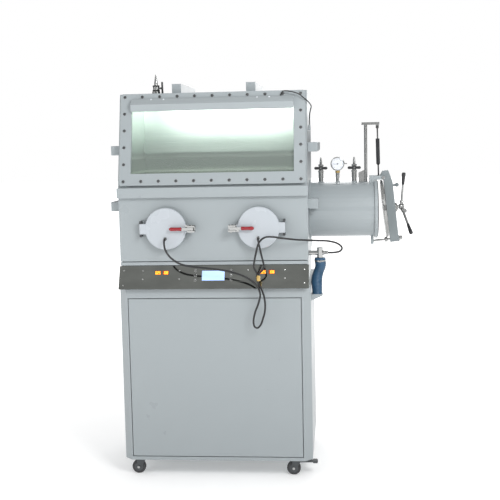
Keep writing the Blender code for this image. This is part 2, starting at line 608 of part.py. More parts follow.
def make_hand_wheel(x, z):
    origin = (x, TUBE_Y, z)
    wheel = turned("hand_wheel", [(0, 0.030), (0.012, 0.028), (0.018, 0.022), (0.018, 0.006), (0.014, 0),
                                  (0, 0)],
                   origin, RIGHT, "steel", origin, SWING, sides=20)
    arms = []
    for number in range(3):
        angle = math.radians(ARM_START + 120 * number)
        out = Vector((0, -math.sin(angle), math.cos(angle)))
        start = Vector(origin) + RIGHT * 0.014 + out * 0.006
        end = Vector(origin) + RIGHT * (0.014 + ARM_DISH) + out * ARM_LENGTH
        arms.append(rod("arm", start, end, 0.0055, "steel", origin, SWING, sides=10))
        grip_start = start.lerp(end, 0.72)
        grip_end = start.lerp(end, 1.03)
        arms.append(rod("arm_grip", grip_start, grip_end, 0.008, "steel", origin, SWING, sides=10,
                        tip=0.0105))
    join(wheel, *arms)


def make_strut():
    """Post, arm and gas strut. The strut's lower end meets the beam's lug without a pin."""
    top = HINGE.z + 0.289
    post_x = HINGE.x - 0.093
    post = rod("strut_post", (post_x, TUBE_Y, TUBE_Z + TUBE_R - 0.006), (post_x, TUBE_Y, top + 0.004),
               0.0085, sides=16)
    arm = block("strut_arm", (HINGE.x - 0.115, TUBE_Y - 0.012, top),
                (HINGE.x - 0.018, TUBE_Y + 0.012, top + 0.014))
    hanger = block("strut_hanger", (HINGE.x - 0.037, TUBE_Y + 0.0055, top - 0.020),
                   (HINGE.x - 0.020, TUBE_Y + 0.0110, top + 0.002))
    gusset = plate("strut_gusset", [(post_x - 0.040, TUBE_Z + TUBE_R - 0.006),
                                    (post_x + 0.004, TUBE_Z + TUBE_R - 0.006),
                                    (post_x + 0.004, TUBE_Z + TUBE_R + 0.070),
                                    (post_x - 0.040, TUBE_Z + TUBE_R + 0.050)],
                   TUBE_Y - 0.004, TUBE_Y + 0.004, "XZ")
    join(post, arm, hanger, gusset)
    cut(post, rod("post_seat", (post_x - 0.1, TUBE_Y, TUBE_Z), (post_x + 0.1, TUBE_Y, TUBE_Z), TUBE_R + GAP,
                  sides=40))
    high = Vector((HINGE.x - 0.029, TUBE_Y, top - 0.012))
    low = turned_point(*STRUT_EYE)
    down = (low - high).normalized()
    length = (low - high).length
    stem = rod("strut_rod", high - down * 0.006, high + down * 0.185, 0.004, "steel", high, sides=12)
    reach = Vector((0.006, 0.004, 0.006))
    eye = block("strut_eye", high - reach, high + reach, "steel", high)
    join(stem, eye)
    turned("strut_cylinder", [(0.0045, length - 0.200), (0.0045, length - 0.204), (0.0105, length - 0.204),
                                         (0.0105, length - 0.066), (0.004, length - 0.058), (0.004,
                                                                                             length + 0.005),
                                         (0, length + 0.005), (0, length - 0.075),
                                         (0.0045, length - 0.075)][::-1],
                      high, down, "black_plastic", low, sides=20, closed=True)


def turned_point(dx, dz):
    """A point on the swinging door, where it is with the door ajar."""
    return HINGE + Vector((dx * math.cos(AJAR) - dz * math.sin(AJAR), 0,
                           dx * math.sin(AJAR) + dz * math.cos(AJAR)))


# --- cabinet ------------------------------------------------------------------
SPIGOT_DROP = 0.045                   # the vacuum duct's mouth below the cabinet's top


def make_cabinet():
    half, front, back = CABINET_W / 2, CABINET_FRONT, CABINET_FRONT + CABINET_D
    outline = [(-half, back), (-half, front + CHAMFER), (-half + CHAMFER, front), (half - CHAMFER, front),
               (half, front + CHAMFER), (half, back)]
    body = shell(plate("cabinet_shell", outline, CABINET_Z, CABINET_TOP, "XY"), SHEET)
    side = half - DOOR_SIDE
    low, high = CABINET_Z + DOOR_LOW, CABINET_TOP - DOOR_HIGH
    door_hole = block("door_hole", (-side, front - 0.02, low), (side, front + 0.02, high))
    cable_hole = block("cable_hole", (-0.25, 0.2, CABINET_TOP - 0.05), (0.25, 0.5, CABINET_TOP + 0.05))
    cut(body, door_hole, cable_hole)
    wall, tip, mouth = half - SHEET / 2, half + 0.062, CABINET_TOP - SPIGOT_DROP
    spigot = plate("hose_spigot", [(wall, mouth - 0.035), (tip, mouth - 0.008), (tip, mouth), (wall, mouth)],
                   0.045, 0.105, "XZ")
    join(body, spigot)
    hinge = (-side + 0.003, front, low)
    block("cabinet_door", (-side + 0.003, front, low + 0.003), (side - 0.003, front + 0.0035, high - 0.003),
          "paint", hinge)


def make_console():
    x = HALF_W + 0.003
    low = CONSOLE_LOW
    panel = block("console_panel", (-x, -CONSOLE_OUT - 0.003, low), (x, -CONSOLE_OUT, low + CONSOLE_H),
                  "steel", parent=TILTED)
    face = -CONSOLE_OUT
    lcd = (-0.060, 0.060, 0.046, 0.100)
    leds = [(-0.311, -0.281), (-0.270, -0.239), (0.247, 0.278), (0.292, 0.323)]
    windows = [lcd] + [(a, b, 0.080, 0.102) for a, b in leds]
    board = block("display_board", (-0.36, face + 0.008, low + 0.035), (0.36, face + 0.011, low + 0.108),
                  "display", parent=TILTED)
    for number, (left, right, bottom, top) in enumerate(windows):
        cut(panel, block(f"window_cut_{number}", (left - CLEAR, face - 0.01, low + bottom - CLEAR),
                         (right + CLEAR, face + 0.01, low + top + CLEAR), parent=TILTED))
        join(board, block(f"display_{number}", (left, face - 0.0025, low + bottom),
                          (right, face + 0.010, low + top),
                          "display", parent=TILTED))
    number = 0
    for x in (-0.095, 0.095):
        for up in (0.102, 0.076, 0.050):
            number += 1
            place = (x, face, low + up)
            cut(panel, rod(f"button_hole_{number}", (x, face - 0.01, low + up), (x, face + 0.005, low + up),
                           0.0068,
                           parent=TILTED, sides=16))
            turned(f"push_button_{number}", [(0, 0.009), (0.0055, 0.009), (0.0062, 0.0082),
                                             (0.0062, -0.003), (0, -0.003)],
                   place, FRONT, "steel", place, TILTED, sides=12)


def make_casters():
    top = CABINET_Z - GAP
    number = 0
    for y in (CASTER_FRONT, CASTER_BACK):
        for sign in (-1, 1):
            number += 1
            x = sign * CASTER_X
            wheel_x = x - TRAIL
            fork = turned(f"caster_fork_{number}", [(0, top), (0.034, top), (0.034, top - 0.010),
                                                    (0, top - 0.010)],
                          (x, y, 0), UP, "caster_metal", (x, y, top), sides=16)
            sides = []
            for cheek in (-1, 1):
                near, far = sorted((y + cheek * (WHEEL_W / 2 + 0.003), y + cheek * (WHEEL_W / 2 + 0.006)))
                sides.append(plate("fork_cheek", [(x + 0.024, top - 0.008),
                                                  (wheel_x + 0.010, WHEEL_R - 0.008),
                                                  (wheel_x - 0.010, WHEEL_R - 0.008),
                                                  (wheel_x - 0.008, top - 0.008)],
                                   near, far, "XZ", "caster_metal", (x, y, top)))
            axle = rod("axle", (wheel_x, y - WHEEL_W / 2 - 0.008, WHEEL_R),
                       (wheel_x, y + WHEEL_W / 2 + 0.008, WHEEL_R),
                       0.005, "caster_metal", (x, y, top), sides=10)
            join(fork, *sides, axle)
            turned(f"caster_wheel_{number}", [(WHEEL_R - 0.004, WHEEL_W / 2), (WHEEL_R, WHEEL_W / 2 - 0.004),
                                              (WHEEL_R, -WHEEL_W / 2 + 0.004), (WHEEL_R - 0.004,
                                                                                -WHEEL_W / 2),
                                              (0.0056, -WHEEL_W / 2), (0.0056, WHEEL_W / 2)],
                   (wheel_x, y, WHEEL_R), FRONT, "black_rubber", (wheel_x, y, WHEEL_R), closed=True, sides=24)


def make_brake_pedal():
    """The pedal of the front caster below the antechamber, between its fork's cheeks."""
    x, y, z = CASTER_X + 0.014, CASTER_FRONT, CABINET_Z - 0.019
    pedal = block("brake_pedal", (x - 0.004, y - 0.010, z - 0.007), (x + 0.096, y + 0.010, z + 0.004),
                  "caster_metal", (x, y, z))
    tread = block("pedal_tread", (x + 0.070, y - 0.018, z - 0.009), (x + 0.094, y + 0.018, z + 0.006),
                  "caster_metal", (x, y, z))
    join(pedal, tread)


def make_pump():
    floor = CABINET_Z + SHEET + GAP
    pump = block("vacuum_pump", (-0.22, 0.22, floor), (0.04, 0.42, floor + 0.19), "pump_paint")
    motor = rod("pump_motor", (0.02, 0.32, floor + 0.10), (0.26, 0.32, floor + 0.10), 0.075, "pump_paint",
                sides=20)
    join(pump, motor, block("pump_foot", (0.10, 0.26, floor), (0.20, 0.38, floor + 0.05), "pump_paint"))


# --- hoses --------------------------------------------------------------------
HOSE_PORT = (HALF_W + 0.060, 0.060, 1.205)


def make_fitting():
    """Steel vacuum fitting on the chamber's right wall."""
    x, y, z = HOSE_PORT
    pipe = rod("side_fitting", (HALF_W + GAP, y, z), (x + 0.020, y, z), 0.012, sides=16)
    join(pipe, rod("fitting_body", (x, y, z - 0.026), (x, y, z + 0.028), 0.016, sides=16),
         rod("fitting_nut", (x + 0.010, y, z), (x + 0.042, y, z), 0.009, sides=12))


TEE = (0.242, -0.094, 1.093)


def make_hoses():
    face = -RING_OUT - CLEAR - COVER_T - 0.014 - GAP
    gland_z = PORT_Z - 0.053
    tee = rod("hose_tee", (TEE[0], TEE[1], TEE[2] - 0.014), (TEE[0], TEE[1], TEE[2] + 0.014), 0.0105,
              sides=12)
    tee.data.materials[0] = finish_of("steel")
    left = [(-0.248, face, gland_z), (-0.248, face - 0.014, gland_z), (-0.246, -0.088, 1.272),
            (-0.238, -0.092, 1.240), (-0.212, -0.092, 1.203), (-0.167, -0.090, 1.172),
            (-0.111, -0.090, 1.157), (0.001, -0.092, 1.144), (0.085, -0.094, 1.131), (0.154, -0.096, 1.110),
            (0.202, -0.098, 1.085), (0.237, -0.106, 1.053), (0.252, -0.106, 1.010), (0.241, -0.100, 0.961),
            (0.224, -0.094, 0.918), (0.213, -0.088, 0.872), (0.216, -0.084, 0.840), (0.232, -0.082, 0.829),
            (0.250, -0.082, 0.846), (0.262, -0.082, 0.878), (0.272, -0.082, 0.913), (0.275, -0.082, 0.952),
            (0.270, -0.084, 0.996), (0.257, -0.088, 1.035), (TEE[0] + 0.002, -0.093, TEE[2] - 0.032),
            (TEE[0], TEE[1], TEE[2] - 0.021), (TEE[0], TEE[1], TEE[2] - 0.014 - GAP)]
    tube("hose_left", left, HOSE_R, "black_rubber", 0.027)
    x = TEE[0] + 0.0055
    right = [(0.242, face, gland_z), (0.242, face - 0.014, gland_z), (0.248, -0.087, 1.272),
             (0.254, -0.089, 1.245), (0.262, -0.090, 1.207), (0.273, -0.092, 1.158), (0.266, -0.094, 1.136),
             (x + 0.001, TEE[1], TEE[2] + 0.026), (x, TEE[1], TEE[2] + 0.020), (x, TEE[1], TEE[2] + 0.0147)]
    tube("hose_right", right, HOSE_R, "black_rubber", 0.022)
    x = TEE[0] - 0.0055
    main = [(x, TEE[1], TEE[2] + 0.0147), (x, TEE[1], TEE[2] + 0.020), (x - 0.003, -0.096, TEE[2] + 0.032),
            (0.222, -0.104, 1.151), (0.226, -0.108, 1.186), (0.238, -0.110, 1.240), (0.250, -0.108, 1.278),
            (0.276, -0.104, 1.303), (0.311, -0.098, 1.308), (HALF_W - 0.120, -0.080, 1.297),
            (HALF_W - 0.050, -0.050, 1.286), (HALF_W + 0.040, 0.000, 1.276), (HALF_W + 0.100, 0.030, 1.270),
            (HALF_W + 0.150, 0.052, 1.255), (HALF_W + 0.176, 0.060, 1.231), (HALF_W + 0.164, 0.062, 1.211),
            (HALF_W + 0.132, 0.061, 1.205), (HOSE_PORT[0] + 0.042 + GAP, HOSE_PORT[1], HOSE_PORT[2])]
    tube("hose_main", main, HOSE_R, "black_rubber", 0.024)
    mouth = CABINET_TOP - SPIGOT_DROP + GAP
    side = HALF_W
    blue = [(side + 0.060, 0.060, HOSE_PORT[2] - 0.026 - GAP), (side + 0.060, 0.060, 1.165),
            (side + 0.062, 0.062, 1.135), (side + 0.049, 0.068, 1.097), (side + 0.040, 0.073, 1.060),
            (side + 0.041, 0.075, 1.030), (side + 0.042, 0.075, 1.008), (side + 0.042, 0.075, 0.997),
            (side + 0.042, 0.075, mouth)]
    tube("exhaust_hose", blue, BLUE_R, "blue_hose", 0.02, resolution=4)
    y, z = HOOD_TOP
    cable = [(side - 0.135, y, z), (side - 0.135, y + 0.0021, z + 0.0082),
             (side - 0.1295, y - 0.001, z + 0.0195), (side - 0.117, 0.087, 2.0565),
             (side - 0.086, 0.082, 2.053), (side - 0.045, 0.081, 2.040), (side - 0.014, 0.084, 2.017),
             (side + 0.009, 0.103, 1.996), (side + 0.0185, 0.135, 1.983), (side + 0.021, 0.157, 1.973),
             (side + 0.016, 0.182, 1.956), (side + 0.011, 0.207, 1.935), (side + 0.009, 0.230, 1.914),
             (side + 0.008, 0.246, 1.899), (CABLE_GLAND[0], CABLE_GLAND[1], CABLE_GLAND[2] + 0.010),
             (CABLE_GLAND[0], CABLE_GLAND[1], CABLE_GLAND[2] + GAP)]
    tube("lamp_cable", cable, CABLE_R, "black_rubber", 0.015)


def slope_place(out, up):
    """Where a point out of the window's plane and up its slope is, as (y, z)."""
    return (up * math.sin(LEAN) - out * math.cos(LEAN), LEDGE_Z + up * math.cos(LEAN) + out * math.sin(LEAN))


HOOD_TOP = slope_place(GLASS_T + FRAME_T + 0.008, HOOD_UP + GAP)

# --- build --------------------------------------------------------------------
clear_scene()
FRAME = guide("glove_box_frame", (0, 0, 0))
FRAME.location = (FRAME_X, FRAME_Y, 0)
SLOPED = guide("window_slope", (0, 0, LEDGE_Z), FRAME, (-LEAN, 0, 0))
TILTED = guide("console_slope", (0, -CONSOLE_OUT, CONSOLE_LOW), FRAME, (-CONSOLE_LEAN, 0, 0))
SWING = guide("door_hinge", HINGE, FRAME, (0, -AJAR, 0))
make_chamber()
make_window()
make_bands()
make_shelf()
make_base_frame()
for port_side in (-1, 1):
    make_port(port_side)
make_roof_valve()
make_antechamber()
make_tube_valve("inlet_valve", HALF_W + 0.065)
make_tube_valve("outlet_valve", HALF_W + 0.248)
make_gauge(HALF_W + 0.157)
make_bracket()
make_door()
make_strut()
make_cabinet()
make_console()
make_casters()
make_brake_pedal()
make_pump()
make_fitting()
make_hoses()
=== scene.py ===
"""Looks of the laboratory glove box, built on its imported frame. Metres, +Z up, the front faces -Y."""
import math

import bmesh
import bpy
from mathutils import Matrix, Vector


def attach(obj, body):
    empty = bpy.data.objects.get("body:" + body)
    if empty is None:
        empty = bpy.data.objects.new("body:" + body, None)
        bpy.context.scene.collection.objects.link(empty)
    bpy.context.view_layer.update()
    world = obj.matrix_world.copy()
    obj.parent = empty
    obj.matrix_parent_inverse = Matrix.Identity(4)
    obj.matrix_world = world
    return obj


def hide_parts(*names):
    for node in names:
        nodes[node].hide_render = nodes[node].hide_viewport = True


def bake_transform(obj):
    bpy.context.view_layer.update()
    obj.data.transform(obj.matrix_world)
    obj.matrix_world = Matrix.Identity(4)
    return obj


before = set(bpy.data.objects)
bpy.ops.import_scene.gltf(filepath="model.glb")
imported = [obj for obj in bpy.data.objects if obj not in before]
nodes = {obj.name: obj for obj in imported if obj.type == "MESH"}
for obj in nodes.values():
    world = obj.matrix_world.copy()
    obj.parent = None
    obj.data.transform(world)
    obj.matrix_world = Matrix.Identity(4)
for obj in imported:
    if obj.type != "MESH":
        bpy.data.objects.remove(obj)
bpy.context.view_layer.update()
scene = bpy.context.scene

# --- places, the same as in the part's source -----------------------------------
FRAME_X, FRAME_Y = -0.2538, -0.3645     # chamber's middle and front wall from the object's origin
CHAMBER_W, CHAMBER_D, CHAMBER_Z, CHAMBER_TOP = 1.000, 0.750, 1.175, 2.060
LEDGE_Z, SLOPE_RUN = 1.565, 0.130
GLASS_T, FRAME_T, GAP = 0.012, 0.008, 0.0003
PORT_X, PORT_Z, PORT_R, COVER_R, COVER_T, RING_OUT = 0.245, 1.350, 0.100, 0.110, 0.0115, 0.030
TUBE_Y, TUBE_Z, TUBE_R, TUBE_LENGTH, FLANGE_R = 0.360, 1.413, 0.151, 0.372, 0.162
CABINET_W, CABINET_D, CABINET_Z, CABINET_TOP, CABINET_FRONT = 1.020, 0.750, 0.095, 1.030, -0.030
CONSOLE_OUT = 0.060
HOSE_R, BLUE_R, CABLE_R = 0.005, 0.028, 0.003
HOOD_UP, LATCH_DROP = 0.474, FLANGE_R + 0.0095
HALF_W = CHAMBER_W / 2
SLOPE_RISE = CHAMBER_TOP - LEDGE_Z
LEAN = math.atan2(SLOPE_RUN, SLOPE_RISE)
SLOPE = math.hypot(SLOPE_RUN, SLOPE_RISE)
CONSOLE_LOW, CONSOLE_HIGH = CABINET_TOP + 0.003, CHAMBER_Z - 0.025
CONSOLE_LEAN = math.atan2(CONSOLE_OUT - 0.003, CONSOLE_HIGH - CONSOLE_LOW)
HINGE = Vector((HALF_W + TUBE_LENGTH + 0.033, TUBE_Y, TUBE_Z + 0.172))
FLANGE_X = HALF_W + TUBE_LENGTH
AJAR = math.radians(6)          # how far the antechamber door stands open at rest
SPINDLE = 0.010
BODY = "glove_box"
FRONT, RIGHT, UP = Vector((0, -1, 0)), Vector((1, 0, 0)), Vector((0, 0, 1))


def at(x, y, z):
    """A chamber place in the frame's coordinates."""
    return Vector((x + FRAME_X, y + FRAME_Y, z))


ON_SLOPE = Matrix.Translation(at(0, 0, LEDGE_Z)) @ Matrix.Rotation(-LEAN, 4, "X")
ON_CONSOLE = Matrix.Translation(at(0, -CONSOLE_OUT, CONSOLE_LOW)) @ Matrix.Rotation(-CONSOLE_LEAN, 4, "X")
ON_DOOR = Matrix.Translation(at(*HINGE)) @ Matrix.Rotation(-AJAR, 4, "Y")
PLAIN = Matrix.Translation(at(0, 0, 0))


# --- materials --------------------------------------------------------------------
def finish(name, colour, rough, metal=0.0, spread=0.03, grain=(9, 9, 9), peel=0.0, peel_size=700,
           coat=0.0, alpha=1.0, glow=0.0, specular=0.5):
    """A Principled material whose colour and roughness vary with a noise, and a fine bump."""
    mat = bpy.data.materials.new(name)
    mat.use_nodes = True
    nodes_, links = mat.node_tree.nodes, mat.node_tree.links
    shader = nodes_["Principled BSDF"]
    place = nodes_.new("ShaderNodeTexCoord")
    scale = nodes_.new("ShaderNodeMapping")
    scale.inputs["Scale"].default_value = grain
    links.new(place.outputs["Object"], scale.inputs["Vector"])
    noise = nodes_.new("ShaderNodeTexNoise")
    noise.inputs["Scale"].default_value = 1.0
    noise.inputs["Detail"].default_value = 5
    links.new(scale.outputs["Vector"], noise.inputs["Vector"])
    tint = nodes_.new("ShaderNodeMix")
    tint.data_type = "RGBA"
    tint.inputs[6].default_value = (*[c * (1 - spread) for c in colour], 1)
    tint.inputs[7].default_value = (*[min(1, c * (1 + spread)) for c in colour], 1)
    links.new(noise.outputs["Fac"], tint.inputs[0])
    links.new(tint.outputs[2], shader.inputs["Base Color"])
    shine = nodes_.new("ShaderNodeMapRange")
    shine.inputs["To Min"].default_value = rough * 0.8
    shine.inputs["To Max"].default_value = min(1, rough * 1.2)
    links.new(noise.outputs["Fac"], shine.inputs["Value"])
    links.new(shine.outputs["Result"], shader.inputs["Roughness"])
    shader.inputs["Metallic"].default_value = metal
    shader.inputs["Coat Weight"].default_value = coat
    shader.inputs["Alpha"].default_value = alpha
    shader.inputs["Specular IOR Level"].default_value = specular
    if peel:
        fine = nodes_.new("ShaderNodeTexNoise")
        fine.inputs["Scale"].default_value = peel_size
        links.new(place.outputs["Object"], fine.inputs["Vector"])
        bump = nodes_.new("ShaderNodeBump")
        bump.inputs["Strength"].default_value = peel
        bump.inputs["Distance"].default_value = 0.0004
        links.new(fine.outputs["Fac"], bump.inputs["Height"])
        links.new(bump.outputs["Normal"], shader.inputs["Normal"])
    if glow:
        shader.inputs["Emission Color"].default_value = (*colour, 1)
        shader.inputs["Emission Strength"].default_value = glow
    return mat


def paint_liner_reflection(mat):
    """Paint reflection and shade onto a liner: darker towards its floor as a painted reflection of the unlit
    lower half, brighter above, with two thin painted bright bands of reflected light.
    """
    nodes_, links = mat.node_tree.nodes, mat.node_tree.links
    shader = nodes_["Principled BSDF"]
    base = shader.inputs["Base Color"].links[0].from_socket
    place = nodes_.new("ShaderNodeTexCoord")
    split = nodes_.new("ShaderNodeSeparateXYZ")
    links.new(place.outputs["Object"], split.inputs["Vector"])
    height = nodes_.new("ShaderNodeMapRange")
    height.inputs["From Min"].default_value = 1.20
    height.inputs["From Max"].default_value = 1.95
    links.new(split.outputs["Z"], height.inputs["Value"])
    # Ramp of painted shade and painted reflection by height, from the dark floor to the bright roof.
    steps = nodes_.new("ShaderNodeValToRGB")
    stops = steps.color_ramp.elements
    stops[0].color, stops[1].color = (0.13, 0.15, 0.09, 1), (0.80, 0.86, 0.86, 1)
    for share, colour in LINER_REFLECTION_STEPS:
        steps.color_ramp.elements.new(share).color = (*colour, 1)
    links.new(height.outputs["Result"], steps.inputs["Fac"])
    mix = nodes_.new("ShaderNodeMix")
    mix.data_type, mix.blend_type = "RGBA", "MULTIPLY"
    mix.inputs[0].default_value = 1.0
    links.new(base, mix.inputs[6])
    links.new(steps.outputs["Color"], mix.inputs[7])
    links.new(mix.outputs[2], shader.inputs["Base Color"])
    return mat


# Stops of the liner's painted reflection: darker steel low down, two thin painted bright bands of reflected
# light, and a painted bright upper part.
LINER_REFLECTION_STEPS = ((0.28, (0.20, 0.23, 0.16)), (0.56, (0.30, 0.34, 0.28)), (0.575, (0.75, 0.82, 0.75)),
               (0.59, (0.32, 0.37, 0.32)), (0.67, (0.36, 0.41, 0.37)), (0.685, (0.85, 0.90, 0.86)),
               (0.71, (0.45, 0.52, 0.50)), (0.85, (0.70, 0.77, 0.76)))
PAINT = finish("powder_coat", (0.325, 0.36, 0.375), 0.30, peel=0.10, spread=0.02)
WALLS = finish("cabinet_coat", (0.32, 0.355, 0.37), 0.30, peel=0.08, spread=0.02)
COVER = finish("cover_coat", (0.44, 0.475, 0.51), 0.26, peel=0.05, spread=0.015, coat=0.3)
BEAM = finish("beam_coat", (0.20, 0.23, 0.24), 0.34, peel=0.08)
STEEL = finish("satin_steel", (0.34, 0.345, 0.34), 0.26, metal=1.0, spread=0.06, grain=(30, 30, 260))
CHROME = finish("bright_steel", (0.42, 0.425, 0.42), 0.13, metal=1.0, spread=0.03)
POLISHED = finish("polished_console", (0.23, 0.24, 0.225), 0.09, metal=1.0, spread=0.38, grain=(7, 3, 14),
                  peel=0.35, peel_size=9)
# The liner's colour carries painted shade and painted reflection by height.
LINER = paint_liner_reflection(finish("brushed_liner", (0.60, 0.65, 0.60), 0.33, metal=0.85, spread=0.10, grain=(2, 2, 90)))
RUBBER = finish("black_rubber", (0.014, 0.014, 0.015), 0.42, spread=0.2, grain=(60, 60, 60), peel=0.2)
TREAD = finish("tread_rubber", (0.045, 0.045, 0.048), 0.55, spread=0.2, peel=0.3)
BLACK = finish("black_plastic", (0.016, 0.017, 0.019), 0.30, spread=0.15, grain=(70, 70, 70), peel=0.15)
RED = finish("red_grip", (0.27, 0.010, 0.017), 0.26, spread=0.12, grain=(50, 50, 50), peel=0.1, coat=0.3)
BLUE = finish("blue_vinyl", (0.022, 0.075, 0.145), 0.36, spread=0.35, grain=(40, 40, 22), peel=0.5,
              peel_size=120)
DARK = finish("dark_zinc", (0.10, 0.105, 0.11), 0.40, metal=0.8, spread=0.15, grain=(60, 60, 60))
GLASS = finish("window_glass", (0.80, 0.92, 0.86), 0.04, alpha=0.10, spread=0.01)
BRASS = finish("brass", (0.55, 0.38, 0.14), 0.28, metal=1.0, spread=0.08)
PUMP = finish("pump_coat", (0.10, 0.14, 0.18), 0.4, peel=0.2)
DIAL = finish("dial_white", (0.80, 0.83, 0.88), 0.35, spread=0.01)
INK = finish("dial_ink", (0.02, 0.02, 0.025), 0.5)
LCD = finish("lcd_pane", (0.42, 0.60, 0.98), 0.15, glow=0.55, spread=0.05, grain=(40, 40, 60))
LED_BACK = finish("led_window", (0.35, 0.05, 0.008), 0.15, glow=0.7)
LED = finish("led_segment", (1.0, 0.42, 0.03), 0.3, glow=3.2)
LAMP = finish("lamp_tube", (1.0, 1.0, 0.97), 0.3, glow=4.0)
GLOVE = finish("glove_rubber", (0.016, 0.016, 0.018), 0.38, spread=0.25, grain=(30, 30, 30), peel=0.35,
               peel_size=260)


# --- mesh helpers -------------------------------------------------------------------
def add_box(bm, low, high, bevel=0.0, matrix=PLAIN):
    low, high = Vector(low), Vector(high)
    made = bmesh.ops.create_cube(bm, size=1, matrix=matrix @ Matrix.Translation((low + high) / 2)
                                 @ Matrix.Diagonal((*(high - low), 1)))
    if bevel:
        edges = {e for v in made["verts"] for e in v.link_edges}
        bmesh.ops.bevel(bm, geom=list(edges), offset=bevel, segments=2, profile=0.5, affect="EDGES")


def add_turned(bm, profile, place, axis, sides=32, matrix=PLAIN):
    """A turned solid: (radius, height) points along axis from place. Points of radius 0 close it."""
    turn = matrix @ Matrix.Translation(place) @ UP.rotation_difference(Vector(axis)).to_matrix().to_4x4()
    rings = []
    for radius, height in profile:
        if radius < 1e-6:
            rings.append([bm.verts.new(turn @ Vector((0, 0, height)))])
            continue
        rings.append([bm.verts.new(turn @ Vector((radius * math.cos(2 * math.pi * i / sides),
                                                  radius * math.sin(2 * math.pi * i / sides), height)))
                      for i in range(sides)])
    for a, b in zip(rings, rings[1:]):
        for i in range(sides):
            j = (i + 1) % sides
            corners = [a[i % len(a)], a[j % len(a)], b[j % len(b)], b[i % len(b)]]
            unique = list(dict.fromkeys(corners))
            if len(unique) > 2:
                bm.faces.new(unique)


def add_rod(bm, start, end, radius, sides=20, bevel=0.0008, matrix=PLAIN, tip=None):
    start, end = Vector(start), Vector(end)
    length, tip = (end - start).length, radius if tip is None else tip
    bevel = min(bevel, radius * 0.4, tip * 0.4, length * 0.4)
    add_turned(bm, [(0, 0), (radius - bevel, 0), (radius, bevel), (tip, length - bevel),
                    (tip - bevel, length), (0, length)], start, end - start, sides, matrix)


def frames_along(points):
    """Two directions square to the line at each of its points, without twist."""
    last = len(points) - 1
    tangents = [(points[min(i + 1, last)] - points[max(i - 1, 0)]).normalized() for i in range(last + 1)]
    side = tangents[0].orthogonal().normalized()
    made = []
    for tangent in tangents:
        side = (side - tangent * side.dot(tangent)).normalized()
        made.append((side, tangent.cross(side)))
    return made


def add_tube(bm, points, radius, sides=16):
    """A closed round tube along world points. radius is a number, or a function of the share along it."""
    rings = []
    for i, (point, (u, v)) in enumerate(zip(points, frames_along(points))):
        r = radius(i / (len(points) - 1)) if callable(radius) else radius
        rings.append([bm.verts.new(point + (u * math.cos(2 * math.pi * k / sides)
                                            + v * math.sin(2 * math.pi * k / sides)) * r)
                      for k in range(sides)])
    for a, b in zip(rings, rings[1:]):
        for k in range(sides):
            bm.faces.new((a[k], a[(k + 1) % sides], b[(k + 1) % sides], b[k]))
    bm.faces.new(rings[0][::-1])
    bm.faces.new(rings[-1])


def piece(name, bm, mat, body=BODY, sharp=35):
    bmesh.ops.recalc_face_normals(bm, faces=bm.faces[:])
    mesh = bpy.data.meshes.new(name)
    bm.to_mesh(mesh)
    bm.free()
    mesh.materials.append(mat)
    mesh.shade_smooth()
    mesh.set_sharp_from_angle(angle=math.radians(sharp))
    obj = bpy.data.objects.new(name, mesh)
    scene.collection.objects.link(obj)
    if body:
        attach(obj, body)
    return obj


def smooth_route(points, spacing):
    """Evenly spaced points on a smooth curve through the route's points."""
    points = [Vector(p) for p in points]
    padded = [2 * points[0] - points[1], *points, 2 * points[-1] - points[-2]]
    dense = []
    for a, b, c, d in zip(padded, padded[1:], padded[2:], padded[3:]):
        for step in range(16):
            t = step / 16
            dense.append(0.5 * (2 * b + (c - a) * t + (2 * a - 5 * b + 4 * c - d) * t ** 2
                                + (3 * b - a - 3 * c + d) * t ** 3))
    dense.append(points[-1])
    lengths = [0.0]
    for a, b in zip(dense, dense[1:]):
        lengths.append(lengths[-1] + (b - a).length)
    count = max(3, round(lengths[-1] / spacing))
    route, index = [], 0
    for i in range(count + 1):
        want = lengths[-1] * i / count
        while index < len(dense) - 2 and lengths[index + 1] < want:
            index += 1
        span = lengths[index + 1] - lengths[index]
        share = min((want - lengths[index]) / span if span else 0, 1)
        route.append(dense[index].lerp(dense[index + 1], share))
    return route


# --- camera, world, lights and floor ----------------------------------------------------
def make_camera():
    data = bpy.data.cameras.new("camera")
    data.lens, data.sensor_width = 69.2, 36
    camera = bpy.data.objects.new("camera", data)
    scene.collection.objects.link(camera)
    heading, pitch, roll = math.radians(5.335), math.radians(6.478), math.radians(-1.2)
    camera.matrix_world = (Matrix.Translation(at(0.661, -5.0, 1.80)) @ Matrix.Rotation(heading, 4, "Z")
                           @ Matrix.Rotation(math.pi / 2 - pitch, 4, "X") @ Matrix.Rotation(roll, 4, "Z"))
    scene.camera = camera


